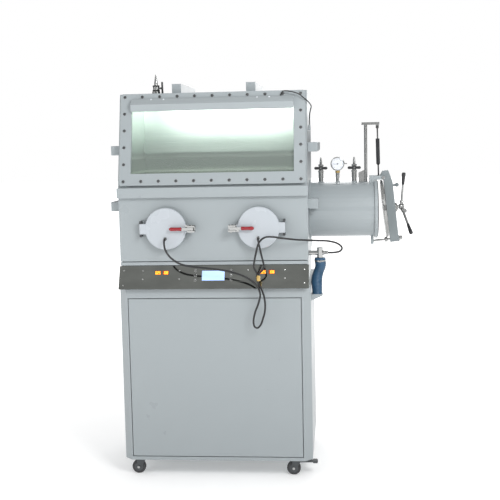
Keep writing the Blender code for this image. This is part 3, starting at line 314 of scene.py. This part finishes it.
def make_world():
    """White to the eye; a softer gradient lights and is mirrored by the object."""
    world = bpy.data.worlds.new("studio")
    world.use_nodes = True
    nodes_, links = world.node_tree.nodes, world.node_tree.links
    nodes_.clear()
    place = nodes_.new("ShaderNodeTexCoord")
    split = nodes_.new("ShaderNodeSeparateXYZ")
    links.new(place.outputs["Generated"], split.inputs["Vector"])
    ramp = nodes_.new("ShaderNodeMapRange")
    ramp.inputs["From Min"].default_value = -1.0
    links.new(split.outputs["Z"], ramp.inputs["Value"])
    colours = nodes_.new("ShaderNodeValToRGB")
    stops = colours.color_ramp
    stops.elements[0].color = (0.55, 0.56, 0.57, 1)
    stops.elements[1].color = (1.0, 1.0, 1.0, 1)
    for position, value in ((0.40, 0.55), (0.47, 0.10), (0.53, 0.12), (0.60, 0.70)):
        stops.elements.new(position).color = (value, value * 1.005, value * 1.01, 1)
    links.new(ramp.outputs["Result"], colours.inputs["Fac"])
    soft = nodes_.new("ShaderNodeBackground")
    soft.inputs["Strength"].default_value = 0.72
    links.new(colours.outputs["Color"], soft.inputs["Color"])
    white = nodes_.new("ShaderNodeBackground")
    white.inputs["Color"].default_value = (1, 1, 1, 1)
    white.inputs["Strength"].default_value = 1.0
    seen = nodes_.new("ShaderNodeLightPath")
    mix = nodes_.new("ShaderNodeMixShader")
    links.new(seen.outputs["Is Camera Ray"], mix.inputs["Fac"])
    links.new(soft.outputs["Background"], mix.inputs[1])
    links.new(white.outputs["Background"], mix.inputs[2])
    out = nodes_.new("ShaderNodeOutputWorld")
    links.new(mix.outputs["Shader"], out.inputs["Surface"])
    scene.world = world
    scene.view_settings.view_transform = "Standard"


def area_light(name, place, target, size, power, colour=(1, 1, 1), tall=None):
    data = bpy.data.lights.new(name, "AREA")
    data.energy, data.size, data.color = power, size, colour
    if tall:
        data.shape, data.size_y = "RECTANGLE", tall
    light = bpy.data.objects.new(name, data)
    scene.collection.objects.link(light)
    light.location = place
    light.rotation_mode = "QUATERNION"
    light.rotation_quaternion = (Vector(target) - Vector(place)).to_track_quat("-Z", "Y")
    light.visible_camera = False
    return light


def make_floor():
    """Pale floor with a painted glow: its emission rises with distance, so it brightens to white away from
    the object.
    """
    mat = finish("pale_floor", (0.90, 0.90, 0.90), 0.7, spread=0.01)
    nodes_, links = mat.node_tree.nodes, mat.node_tree.links
    shader = nodes_["Principled BSDF"]
    place = nodes_.new("ShaderNodeTexCoord")
    away = nodes_.new("ShaderNodeVectorMath")
    away.operation = "LENGTH"
    links.new(place.outputs["Object"], away.inputs[0])
    # Painted glow: emission strength grows from near the object to far away.
    fade = nodes_.new("ShaderNodeMapRange")
    fade.interpolation_type = "SMOOTHSTEP"
    for socket, value in (("From Min", 0.9), ("From Max", 5.0), ("To Min", 0.25), ("To Max", 1.0)):
        fade.inputs[socket].default_value = value
    links.new(away.outputs["Value"], fade.inputs["Value"])
    links.new(fade.outputs["Result"], shader.inputs["Emission Strength"])
    shader.inputs["Emission Color"].default_value = (1, 1, 1, 1)
    return mat


def make_studio():
    bm = bmesh.new()
    bmesh.ops.create_grid(bm, x_segments=1, y_segments=1, size=40, matrix=Matrix.Translation((0, 0, 0)))
    floor = piece("floor", bm, make_floor(), body=None)
    area_light("key", (1.9, -3.4, 3.3), (0, -0.2, 1.2), 1.4, 95)
    area_light("fill", (-3.2, -2.6, 2.2), (-0.2, -0.2, 1.1), 2.2, 26)
    area_light("back", (0.3, 3.2, 3.0), (0, 0.3, 1.2), 2.5, 45)
    area_light("chamber_light", at(0, 0.17, 2.02), at(0, 0.70, 1.90), 0.84, 6.0, (1.0, 1.0, 0.97), tall=0.04)


# --- cords -------------------------------------------------------------------------------
TEE = (0.242, -0.094, 1.093)
HOSE_PORT = (HALF_W + 0.060, 0.060, 1.205)
GLAND_FACE = -RING_OUT - 0.0005 - COVER_T - 0.014 - GAP
GLAND_Z = PORT_Z - 0.053


def make_hose(name, route, radius, mat, stands_for, spacing=0.008, sides=16, thick=None):
    points = [at(*p) for p in smooth_route(route, spacing)]
    bm = bmesh.new()
    add_tube(bm, points, thick or radius, sides)
    hose = piece(name, bm, mat, body=None, sharp=60)
    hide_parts(stands_for)
    length = sum((b - a).length for a, b in zip(points, points[1:]))
    return hose, points, length


def make_cords():
    left = [(-0.248, GLAND_FACE, GLAND_Z), (-0.248, GLAND_FACE - 0.014, GLAND_Z), (-0.246, -0.088, 1.272),
            (-0.238, -0.092, 1.240), (-0.212, -0.092, 1.203), (-0.167, -0.090, 1.172),
            (-0.111, -0.090, 1.157),
            (0.001, -0.092, 1.144), (0.085, -0.094, 1.131), (0.154, -0.096, 1.110), (0.202, -0.098, 1.085),
            (0.237, -0.106, 1.053), (0.252, -0.106, 1.010), (0.241, -0.100, 0.961), (0.224, -0.094, 0.918),
            (0.213, -0.088, 0.872), (0.216, -0.084, 0.840), (0.232, -0.082, 0.829), (0.250, -0.082, 0.846),
            (0.262, -0.082, 0.878), (0.272, -0.082, 0.913), (0.275, -0.082, 0.952), (0.270, -0.084, 0.996),
            (0.257, -0.088, 1.035), (TEE[0] + 0.002, -0.093, TEE[2] - 0.032),
            (TEE[0], TEE[1], TEE[2] - 0.021),
            (TEE[0], TEE[1], TEE[2] - 0.014 - GAP)]
    hose, points, length = make_hose("left_hose", left, HOSE_R, RUBBER, "hose_left")
    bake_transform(hose)
    x = TEE[0] + 0.0055
    right = [(0.242, GLAND_FACE, GLAND_Z), (0.242, GLAND_FACE - 0.014, GLAND_Z), (0.248, -0.087, 1.272),
             (0.254, -0.089, 1.245), (0.262, -0.090, 1.207), (0.273, -0.092, 1.158), (0.266, -0.094, 1.136),
             (x + 0.001, TEE[1], TEE[2] + 0.026), (x, TEE[1], TEE[2] + 0.020), (x, TEE[1], TEE[2] + 0.0147)]
    hose, points, length = make_hose("right_hose", right, HOSE_R, RUBBER, "hose_right")
    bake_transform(hose)
    x = TEE[0] - 0.0055
    main = [(x, TEE[1], TEE[2] + 0.0147), (x, TEE[1], TEE[2] + 0.020), (x - 0.003, -0.096, TEE[2] + 0.032),
            (0.222, -0.104, 1.151), (0.226, -0.108, 1.186), (0.238, -0.110, 1.240), (0.250, -0.108, 1.278),
            (0.276, -0.104, 1.303), (0.311, -0.098, 1.308), (0.380, -0.080, 1.297), (0.450, -0.050, 1.286),
            (0.540, 0.000, 1.276), (0.600, 0.030, 1.270), (0.650, 0.052, 1.255), (0.676, 0.060, 1.231),
            (0.664, 0.062, 1.211), (0.632, 0.061, 1.205),
            (HOSE_PORT[0] + 0.042 + GAP, HOSE_PORT[1], HOSE_PORT[2])]
    hose, points, length = make_hose("main_hose", main, HOSE_R, RUBBER, "hose_main")
    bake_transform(hose)
    mouth = CABINET_TOP - 0.045 + GAP
    blue = [(0.560, 0.060, HOSE_PORT[2] - 0.026 - GAP), (0.560, 0.060, 1.165), (0.562, 0.062, 1.135),
            (0.549, 0.068, 1.097), (0.540, 0.073, 1.060), (0.541, 0.075, 1.030), (0.542, 0.075, 1.008),
            (0.542, 0.075, 0.997), (0.542, 0.075, mouth)]
    hose, points, length = make_hose("blue_hose", blue, BLUE_R, BLUE, "exhaust_hose",
                                     spacing=0.002, sides=28,
                                     thick=lambda s: BLUE_R * (1 + 0.035 * math.sin(190 * s)
                                                                         + 0.05 * math.sin(11 * s + 0.6)))
    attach(hose, BODY)
    out, up = GLASS_T + FRAME_T + 0.008, HOOD_UP + GAP
    y, z = up * math.sin(LEAN) - out * math.cos(LEAN), LEDGE_Z + up * math.cos(LEAN) + out * math.sin(LEAN)
    gland = (HALF_W + 0.008, 0.250, 1.880)
    cable = [(0.365, y, z), (0.365, y + 0.0021, z + 0.0082), (0.3705, y - 0.001, z + 0.0195),
             (0.383, 0.087, 2.0565), (0.414, 0.082, 2.053), (0.455, 0.081, 2.040), (0.486, 0.084, 2.017),
             (0.509, 0.103, 1.996), (0.5185, 0.135, 1.983), (0.521, 0.157, 1.973), (0.516, 0.182, 1.956),
             (0.511, 0.207, 1.935), (0.509, 0.230, 1.914), (0.508, 0.246, 1.899),
             (gland[0], gland[1], gland[2] + 0.010), (gland[0], gland[1], gland[2] + GAP)]
    lead, points, length = make_hose("lamp_lead", cable, CABLE_R, RUBBER, "lamp_cable",
                                     spacing=0.006, sides=12)
    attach(lead, BODY)


make_camera()
make_world()
make_studio()
make_cords()

# --- CAD nodes ---------------------------------------------------------------------------
LOOKS = {
    "chamber_shell": PAINT, "window_frame": PAINT, "lamp_housing": PAINT, "band_upper": PAINT,
    "band_lower": PAINT,
    "base_frame": PAINT, "glove_ring_left": PAINT, "glove_ring_right": PAINT, "antechamber_tube": PAINT,
    "hinge_bracket": PAINT, "cabinet_shell": WALLS, "cabinet_door": WALLS, "door_beam": BEAM,
    "port_cover_left": COVER, "port_cover_right": COVER, "interior_shelf": LINER, "console_panel": POLISHED,
    "window_glass": GLASS, "vacuum_pump": PUMP, "clamp_handle_left": RED, "clamp_handle_right": RED,
    "display_board": BLACK, "door_disc": STEEL, "hand_wheel": STEEL, "strut_rod": CHROME, "latch_rod": CHROME,
    "strut_cylinder": BLACK, "strut_post": STEEL, "inner_door": STEEL, "hose_tee": BRASS, "brake_pedal": DARK,
    "side_fitting": CHROME, "pressure_gauge": CHROME, "inlet_valve_body": STEEL, "outlet_valve_body": STEEL,
    "roof_valve_body": STEEL, "inlet_valve_handle": BLACK, "outlet_valve_handle": BLACK,
    "roof_valve_handle": BLACK,
}
SOFT_EDGES = {"chamber_shell": 0.003, "cabinet_shell": 0.002, "window_frame": 0.0015, "band_upper": 0.003,
              "band_lower": 0.003, "base_frame": 0.0015, "cabinet_door": 0.0012, "door_beam": 0.002}


def dress_nodes():
    """Give each CAD node its material and soft edges."""
    for name, node in nodes.items():
        if node.hide_render:
            continue
        if name.startswith("push_button"):
            mat = CHROME
        elif name.startswith("caster_wheel"):
            mat = TREAD
        elif name.startswith("caster_fork"):
            mat = DARK
        else:
            mat = LOOKS.get(name, STEEL)
        node.data.materials.clear()
        node.data.materials.append(mat)
        weld = node.modifiers.new("weld", "WELD")
        weld.merge_threshold = 0.00002
        edges = node.modifiers.new("soft_edges", "BEVEL")
        edges.width = SOFT_EDGES.get(name, 0.0006)
        edges.segments = 2
        edges.limit_method = "ANGLE"
        edges.angle_limit = math.radians(40)
        edges.harden_normals = True


def second_material(name, mat, chosen):
    """Give the faces of a CAD node that chosen(centre in chamber places) picks another material."""
    data = nodes[name].data
    data.materials.append(mat)
    shift = at(0, 0, 0)
    for face in data.polygons:
        if chosen(face.center - shift):
            face.material_index = len(data.materials) - 1


def paint_parts():
    inside = HALF_W - 0.0025
    second_material("chamber_shell", LINER, lambda c: abs(c.x) < inside and 0.0025 < c.y < CHAMBER_D - 0.0025
                    and CHAMBER_Z + 0.0025 < c.z < CHAMBER_TOP - 0.0025
                    and (c.z < LEDGE_Z or (c.y - 0.003) > (c.z - LEDGE_Z) * SLOPE_RUN / SLOPE_RISE))
    second_material("antechamber_tube", STEEL,
                    lambda c: math.hypot(c.y - TUBE_Y, c.z - TUBE_Z) < TUBE_R - 0.002)
    for side, word in ((-1, "left"), (1, "right")):
        second_material(f"port_cover_{word}", CHROME,
                        lambda c, s=side: s * (c.x - s * PORT_X) < -COVER_R - 0.001
                        or (c.z < PORT_Z - 0.043 and abs(c.x - s * PORT_X) < 0.016
                            and c.y < -RING_OUT - COVER_T - 0.002))
        second_material(f"clamp_handle_{word}", CHROME, lambda c, s=side: s * (c.x - s * PORT_X) < -0.089)
        second_material(f"glove_ring_{word}", DARK, lambda c, s=side: s * (c.x - s * PORT_X) > 0.122
                        and abs(c.z - PORT_Z) > 0.026)


# --- window and lamp ------------------------------------------------------------------------
def make_window():
    reach, low, high = 0.468, 0.030, 0.489
    places = [(-reach + i * reach / 5, v) for v in (low, high) for i in range(11)]
    places += [(side * reach, low + k * (high - low) / 5) for side in (-1, 1) for k in range(1, 5)]
    face = -GLASS_T - GAP - FRAME_T
    washers, heads = bmesh.new(), bmesh.new()
    for x, z in places:
        add_turned(washers, [(0, 0), (0.0085, 0), (0.0085, 0.0012), (0.0080, 0.0016), (0, 0.0016)],
                   (x, face, z), FRONT, 18, ON_SLOPE)
        add_turned(heads, [(0, 0.0016), (0.0056, 0.0016), (0.0056, 0.0056), (0.0050, 0.0062),
                           (0.0030, 0.0062),
                           (0.0028, 0.0036), (0, 0.0036)], (x, face, z), FRONT, 12, ON_SLOPE)
    piece("window_washers", washers, STEEL)
    piece("window_bolts", heads, DARK)
    back = face - GAP
    # Four screw heads on the hood's top flange; their white colour is a painted highlight.
    rivets = bmesh.new()
    for x in (-0.324, -0.257, 0.240, 0.304):
        add_turned(rivets, [(0, -0.001), (0.0046, -0.001), (0.0042, 0.0014), (0.0024, 0.0026), (0, 0.003)],
                   (x, back - 0.0145, HOOD_UP - 0.005), (0, -0.82, 0.57), 14, ON_SLOPE)
    piece("hood_rivets", rivets, DIAL)
    tube = bmesh.new()
    add_rod(tube, (-0.420, back - 0.0155, 0.449), (0.420, back - 0.0155, 0.449), 0.0075, matrix=ON_SLOPE)
    piece("lamp_tube", tube, LAMP)



# --- glove ports ------------------------------------------------------------------------------
def make_port(side):
    word = "left" if side < 0 else "right"
    cover = f"port_cover_{word}"
    x = side * PORT_X
    pin_y = -RING_OUT - 0.0005 - COVER_T / 2
    knuckles = bmesh.new()
    for rise in (-1, 1):
        z = PORT_Z + rise * 0.0405
        add_rod(knuckles, (x + side * 0.133, pin_y, z - 0.0022), (x + side * 0.133, pin_y, z + 0.0022),
                0.0062)
    for rise in (-1, 1):
        z = PORT_Z + rise * 0.034
        add_turned(knuckles, [(0, 0), (0.0032, 0), (0.0032, 0.0016), (0, 0.002)],
                   (x + side * 0.133, pin_y - 0.006, z), FRONT, 12)
    piece(f"hinge_caps_{word}", knuckles, DARK)
    face = -RING_OUT - 0.0005 - COVER_T
    clamp = bmesh.new()
    for dx in (0.1245, 0.1485):
        add_turned(clamp, [(0, 0), (0.0042, 0), (0.0042, 0.0026), (0.0034, 0.0032), (0, 0.0032)],
                   (x - side * dx, face - 0.003, PORT_Z), FRONT, 6)
    for rise in (-1, 1):
        add_rod(clamp, (x - side * 0.142, face - 0.022, PORT_Z + rise * 0.0172),
                (x - side * 0.142, face - 0.022, PORT_Z + rise * 0.0212), 0.0052, sides=6)
        add_rod(clamp, (x - side * 0.126, face - 0.016, PORT_Z + rise * 0.0172),
                (x - side * 0.126, face - 0.016, PORT_Z + rise * 0.0200), 0.0040, sides=6)
    piece(f"clamp_screws_{word}", clamp, CHROME, cover)
    gx = x - 0.003
    nut = bmesh.new()
    add_rod(nut, (gx, face - 0.0004, GLAND_Z), (gx, face - 0.0060, GLAND_Z), 0.0105, sides=6)
    piece(f"gland_nut_{word}", nut, CHROME, cover)
    grip_ends = bmesh.new()
    add_turned(grip_ends, [(0, 0), (0.0052, 0), (0.0042, 0.0016), (0, 0.002)],
               (x - side * 0.0238, face - 0.022, PORT_Z), (side, 0, 0), 14)
    piece(f"grip_cap_{word}", grip_ends, RED, f"clamp_handle_{word}")
    make_glove(side, word, x)


def make_glove(side, word, x):
    """A long thin rubber glove: an open sleeve from the port, a wrist, a palm and five fingers."""
    bm = bmesh.new()
    sides = 28
    path = [(0.0, 0.0, 0.0885), (0.03, -0.002, 0.0875), (0.06, -0.008, 0.082), (0.09, -0.018, 0.074),
            (0.125, -0.034, 0.066), (0.16, -0.052, 0.058), (0.195, -0.068, 0.050), (0.225, -0.080, 0.043),
            (0.25, -0.088, 0.037), (0.27, -0.093, 0.036), (0.285, -0.097, 0.040), (0.305, -0.101, 0.043),
            (0.325, -0.105, 0.041)]
    rings = []
    for n, (depth, drop, radius) in enumerate(path):
        flat = 1.0 if n < 8 else 1.0 - 0.11 * (n - 7)
        ring = []
        for k in range(sides):
            a = 2 * math.pi * k / sides
            fold = 0.035 * math.sin(5 * a + n * 1.3) + 0.02 * math.sin(9 * a - n * 2.1)
            fold = 1 + fold * (0.2 if n < 2 else 1)
            r = radius * fold
            ring.append(bm.verts.new(at(x + r * math.cos(a), 0.008 + depth,
                                        PORT_Z + drop + r * flat * math.sin(a))))
        rings.append(ring)
    for a, b in zip(rings, rings[1:]):
        for k in range(sides):
            bm.faces.new((a[k], a[(k + 1) % sides], b[(k + 1) % sides], b[k]))
    bm.faces.new(rings[-1])
    for n, (across, length, lean) in enumerate(((-0.030, 0.060, -0.10), (-0.010, 0.074, -0.03),
                                                (0.011, 0.070, 0.04),
                                                (0.030, 0.054, 0.12))):
        start = at(x + across, 0.322, PORT_Z - 0.104)
        points = [start + Vector((lean * length * t, length * t, -0.030 * t * t - 0.012 * t)) for t in
                  (-0.15, 0, 0.25, 0.5, 0.75, 0.92, 1.0)]
        add_tube(bm, points, lambda s: 0.0105 * (1 if s < 0.8 else 0.8 if s < 0.95 else 0.45), 12)
    thumb = at(x - side * 0.036, 0.275, PORT_Z - 0.098)
    points = [thumb + Vector((-side * 0.030 * t, 0.045 * t, -0.012 * t))
              for t in (-0.2, 0.2, 0.5, 0.8, 0.93, 1.0)]
    add_tube(bm, points,
             lambda s: 0.0125 * (1 if s < 0.8 else 0.8 if s < 0.95 else 0.45), 12)
    glove = piece(f"rubber_glove_{word}", bm, GLOVE, sharp=80)
    thick = glove.modifiers.new("wall", "SOLIDIFY")
    thick.thickness = 0.001
    smooth = glove.modifiers.new("smooth", "SUBSURF")
    smooth.levels = smooth.render_levels = 1
    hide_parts(f"glove_{word}")


# --- console ------------------------------------------------------------------------------------
DIGITS = {"0": "abcdef", "1": "bc", "2": "abged", "5": "afgcd", "8": "abcdefg"}


def add_digit(bm, digit, left, bottom, face):
    """A seven-segment digit, 9 by 16 mm."""
    w, h, t = 0.0070, 0.0150, 0.0015
    bars = {"a": (0, h - t, w, h), "g": (0, h / 2 - t / 2, w, h / 2 + t / 2), "d": (0, 0, w, t),
            "f": (0, h / 2, t, h), "e": (0, 0, t, h / 2), "b": (w - t, h / 2, w, h),
            "c": (w - t, 0, w, h / 2)}
    for bar in DIGITS[digit]:
        x0, z0, x1, z1 = bars[bar]
        add_box(bm, (left + x0, face - 0.0006, bottom + z0), (left + x1, face, bottom + z1),
                matrix=ON_CONSOLE)


def make_console():
    face = -0.003
    lcd = bmesh.new()
    add_box(lcd, (-0.0598, face - 0.0004, 0.0462), (0.0598, face + 0.0008, 0.0998), 0.0003, ON_CONSOLE)
    piece("lcd_pane", lcd, LCD)
    backs, digits = bmesh.new(), bmesh.new()
    for (left, right), text in zip(((-0.311, -0.281), (-0.270, -0.239), (0.247, 0.278), (0.292, 0.323)),
                                   ("025", "108", "025", "108")):
        add_box(backs, (left + 0.0003, face, 0.0803), (right - 0.0003, face + 0.0008, 0.1017), 0.0003,
                ON_CONSOLE)
        for n, digit in enumerate(text):
            add_digit(digits, digit, left + 0.0025 + n * 0.0092, 0.0832, face)
    piece("led_windows", backs, LED_BACK)
    piece("led_digits", digits, LED)
    screws = bmesh.new()
    places = [(x, z) for x in (-0.375, -0.180, 0.183, 0.376) for z in (0.056, 0.103)]
    places += [(-0.478, 0.104), (-0.478, 0.022), (0.478, 0.104), (0.478, 0.030)]
    for x, z in places:
        add_turned(screws, [(0, 0), (0.0046, 0), (0.0046, 0.0012), (0.0036, 0.0026), (0.0015, 0.0032),
                            (0.0013, 0.0016),
                            (0, 0.0016)], (x, -0.0031, z), FRONT, 16, ON_CONSOLE)
    piece("console_screws", screws, CHROME)
    rings = bmesh.new()
    for x in (-0.095, 0.095):
        for z in (0.102, 0.076, 0.050):
            add_turned(rings, [(0.0069, 0.0), (0.0088, 0.0), (0.0088, 0.0012), (0.0080, 0.0018),
                               (0.0069, 0.0012), (0.0069, 0)],
                       (x, -0.0031, z), FRONT, 20, ON_CONSOLE)
    piece("button_rings", rings, CHROME)


# --- antechamber ----------------------------------------------------------------------------------
def make_gauge():
    x, z, y = 0.657, 1.664, TUBE_Y - 0.022
    dial = bmesh.new()
    add_turned(dial, [(0, 0.0004), (0.0322, 0.0004), (0.0322, 0.0009), (0, 0.0010)], (x, y, z), FRONT, 36)
    piece("gauge_dial", dial, DIAL)
    bezel = bmesh.new()
    add_turned(bezel, [(0.0322, 0.0002), (0.0375, 0.0002), (0.0372, 0.0028), (0.0350, 0.0036),
                       (0.0325, 0.0024), (0.0322, 0.0002)],
               (x, y, z), FRONT, 36)
    piece("gauge_bezel", bezel, CHROME)
    ink = bmesh.new()
    for n in range(31):
        angle = math.radians(225 - n * 9)
        turn = Matrix.Translation(at(x, y - 0.0011, z)) @ Matrix.Rotation(-angle, 4, "Y")
        size = 0.0050 if n % 5 == 0 else 0.0028
        width = 0.0006 if n % 5 == 0 else 0.0003
        add_box(ink, (0.0290 - size, -0.0003, -width), (0.0290, 0.0, width), matrix=turn)
    turn = Matrix.Translation(at(x, y - 0.0016, z)) @ Matrix.Rotation(math.radians(-225 + 40), 4, "Y")
    add_box(ink, (-0.0070, -0.0005, -0.0006), (0.0235, 0.0, 0.0006), matrix=turn)
    add_turned(ink, [(0, 0.0012), (0.0030, 0.0012), (0.0030, 0.0026), (0, 0.0028)], (x, y, z), FRONT, 16)
    piece("gauge_marks", ink, INK)
    nut = bmesh.new()
    add_rod(nut, (x, TUBE_Y, 1.614), (x, TUBE_Y, 1.627), 0.0125, sides=6)
    piece("gauge_nut", nut, BRASS)


def make_valves():
    nuts, collars = bmesh.new(), bmesh.new()
    for x in (0.565, 0.748):
        add_rod(nuts, (x, TUBE_Y, 1.650), (x, TUBE_Y, 1.661), 0.0140, sides=6)
        add_rod(nuts, (x, TUBE_Y, 1.618), (x, TUBE_Y, 1.628), 0.0155, sides=6)
        for z in (1.672, 1.679, 1.686, 1.693):
            add_turned(nuts, [(0.003, 0.0), (0.0078 - (z - 1.672) * 0.12, 0.0),
                              (0.0062 - (z - 1.672) * 0.12, 0.0045), (0.003, 0.0045)],
                       (x, TUBE_Y, z), UP, 20)
        add_turned(collars, [(0.0136, 0.0), (0.0180, 0.0), (0.0160, 0.0030), (0.0136, 0.0045)],
                   (x, TUBE_Y, TUBE_Z + TUBE_R - 0.0008), UP, 28)
    add_turned(collars, [(0.0106, 0.0), (0.0150, 0.0), (0.0130, 0.0030), (0.0106, 0.0045)],
               (0.657, TUBE_Y, TUBE_Z + TUBE_R - 0.0008), UP, 28)
    z = CHAMBER_TOP
    add_rod(nuts, (-0.335, 0.300, z + 0.022), (-0.335, 0.300, z + 0.030), 0.0205, sides=6)
    add_rod(nuts, (-0.335, 0.300, z + 0.046), (-0.335, 0.300, z + 0.054), 0.0195, sides=6)
    for k in range(4):
        add_turned(nuts, [(0.003, 0), (0.0100 - k * 0.0012, 0), (0.0080 - k * 0.0012, 0.006), (0.003, 0.006)],
                   (-0.335, 0.300, z + 0.070 + 0.009 * k), UP, 20)
    piece("valve_nuts", nuts, CHROME)
    piece("valve_welds", collars, PAINT)
    for name, x in (("inlet_valve_handle", 0.565), ("outlet_valve_handle", 0.748)):
        screw = bmesh.new()
        add_turned(screw, [(0, 0), (0.0052, 0), (0.0052, 0.0022), (0.0040, 0.0032), (0, 0.0032)],
                   (x, TUBE_Y - 0.0345, 1.642), FRONT, 6)
        piece(name + "_screw", screw, CHROME, name)


def make_hand_wheel():
    """Three steel arms with tapered black grips, over the CAD wheel."""
    turn = Matrix.Rotation(-AJAR, 3, "Y")
    hub = at(0.9929, TUBE_Y, 1.4213) - at(0, 0, 0)
    axis, up, across = turn @ RIGHT, turn @ UP, Vector((0, -1, 0))
    metal, grips = bmesh.new(), bmesh.new()
    add_turned(metal, [(0, 0.0305), (0.0115, 0.0285), (0.0175, 0.0225), (0.0180, 0.0185), (0.0165, 0.0150),
                       (0.0180, 0.0110), (0.0180, 0.0060), (0.0140, 0.0), (0, 0.0)], hub, axis, 36)
    for number in range(3):
        angle = math.radians(17 + 120 * number)
        out = up * math.cos(angle) + across * math.sin(angle)
        start, end = hub + axis * 0.014 + out * 0.006, hub + axis * 0.042 + out * 0.190
        add_rod(metal, start, start.lerp(end, 0.70), 0.0072, tip=0.0062, sides=20)
        add_turned(metal, [(0, 0), (0.0105, 0), (0.0105, 0.010), (0.0075, 0.014), (0, 0.014)],
                   start.lerp(end, 0.085), end - start, 20)
        length = (end - start).length * 0.37
        profile = [(0, 0), (0.0068, 0), (0.0078, 0.003), (0.0092, length * 0.45), (0.0105, length * 0.80),
                   (0.0103, length * 0.91), (0.0080, length * 0.98), (0, length)]
        add_turned(grips, profile, start.lerp(end, 0.66), end - start, 24)
    wheel = piece("wheel_arms", metal, STEEL, "hand_wheel")
    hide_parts("hand_wheel")
    piece("wheel_grips", grips, BLACK, "hand_wheel")


def make_door_details():
    seal, rim, bolts = bmesh.new(), bmesh.new(), bmesh.new()
    add_turned(seal, [(TUBE_R - 0.0015 + 0.006 * math.cos(a), 0.0022 + 0.0024 * math.sin(a))
                      for a in [math.radians(d) for d in range(0, 361, 30)]], (FLANGE_X, TUBE_Y, TUBE_Z),
                      RIGHT, 64)
    piece("flange_seal", seal, RUBBER)
    low = TUBE_Z - LATCH_DROP
    for sign in (-1, 1):
        add_turned(bolts, [(0, 0), (0.0095, 0), (0.0095, 0.0040), (0.0080, 0.0052), (0, 0.0052)],
                   (HINGE.x, TUBE_Y + sign * (0.0300 + 0.016), HINGE.z), (0, sign, 0), 6)
    piece("hinge_pin_nuts", bolts, CHROME)
    add_turned(rim, [(SPINDLE + 0.001, 0), (0.026, 0), (0.026, 0.006), (0.022, 0.010),
                     (SPINDLE + 0.001, 0.010)],
               (0.049, 0, TUBE_Z - HINGE.z), RIGHT, 28, ON_DOOR)
    for k in range(4):
        a = math.radians(45 + 90 * k)
        add_turned(rim, [(0, 0.0), (0.0034, 0), (0.0034, 0.0028), (0, 0.0030)],
                   (0.059, 0.0175 * math.cos(a), TUBE_Z - HINGE.z + 0.0175 * math.sin(a)), RIGHT, 6, ON_DOOR)
    piece("spindle_collar", rim, STEEL, "door_beam")
    nuts = bmesh.new()
    add_turned(nuts, [(0.0095, 0), (0.0135, 0), (0.0135, 0.014), (0.0120, 0.016), (0.0095, 0.016),
                      (0.0095, 0)],
               (-0.028, 0, low - HINGE.z), RIGHT, 28, ON_DOOR)
    piece("latch_bush", nuts, STEEL, "door_beam")
    caps = bmesh.new()
    high = Vector((HINGE.x - 0.029, TUBE_Y, HINGE.z + 0.289 - 0.012))
    add_rod(caps, high + Vector((0, -0.0085, 0)), high + Vector((0, 0.0120, 0)), 0.0042)
    piece("strut_top_pin", caps, CHROME, "strut_rod")




def make_side_fitting():
    """The nuts of the vacuum fitting, and the clip around the duct below it."""
    x, y, z = HOSE_PORT
    nuts = bmesh.new()
    for reach in (0.028, 0.040):
        add_rod(nuts, (x + reach - 0.004, y, z), (x + reach, y, z), 0.0115, sides=6)
    piece("fitting_nuts", nuts, STEEL)
    bands = bmesh.new()
    add_turned(bands, [(BLUE_R * 1.02, 0), (BLUE_R * 1.08, 0), (BLUE_R * 1.08, 0.008), (BLUE_R * 1.02, 0.008),
                       (BLUE_R * 1.02, 0)], (x, y, z - 0.046), UP, 36)
    add_box(bands, (x - 0.006, y - BLUE_R * 1.08 - 0.006, z - 0.047),
            (x + 0.006, y - BLUE_R * 1.05, z - 0.037), 0.001)
    piece("duct_clip", bands, STEEL)


# --- casters --------------------------------------------------------------------------------------
def make_casters():
    number = 0
    for y in (0.040, 0.650):
        for sign in (-1, 1):
            number += 1
            x = sign * 0.425
            wheel_x = x - 0.020
            hub = bmesh.new()
            for face in (-1, 1):
                add_turned(hub, [(0.0056, 0), (0.0235, 0), (0.0235, 0.0006), (0.0215, 0.0014),
                                 (0.0120, 0.0012),
                                 (0.0100, 0.0024), (0.0056, 0.0024)],
                           (wheel_x, y + face * 0.0129, 0.0375), (0, face, 0), 28)
            piece(f"caster_hub_{number}", hub, DARK, f"caster_wheel_{number}")
            nuts = bmesh.new()
            for face in (-1, 1):
                add_rod(nuts, (wheel_x, y + face * 0.0191, 0.0375), (wheel_x, y + face * 0.0245, 0.0375),
                        0.0085, sides=6)
            piece(f"caster_nuts_{number}", nuts, CHROME, f"caster_fork_{number}")


dress_nodes()
paint_parts()
make_window()
for port_side in (-1, 1):
    make_port(port_side)
make_console()
make_gauge()
make_valves()
make_hand_wheel()
make_door_details()
make_side_fitting()
make_casters()
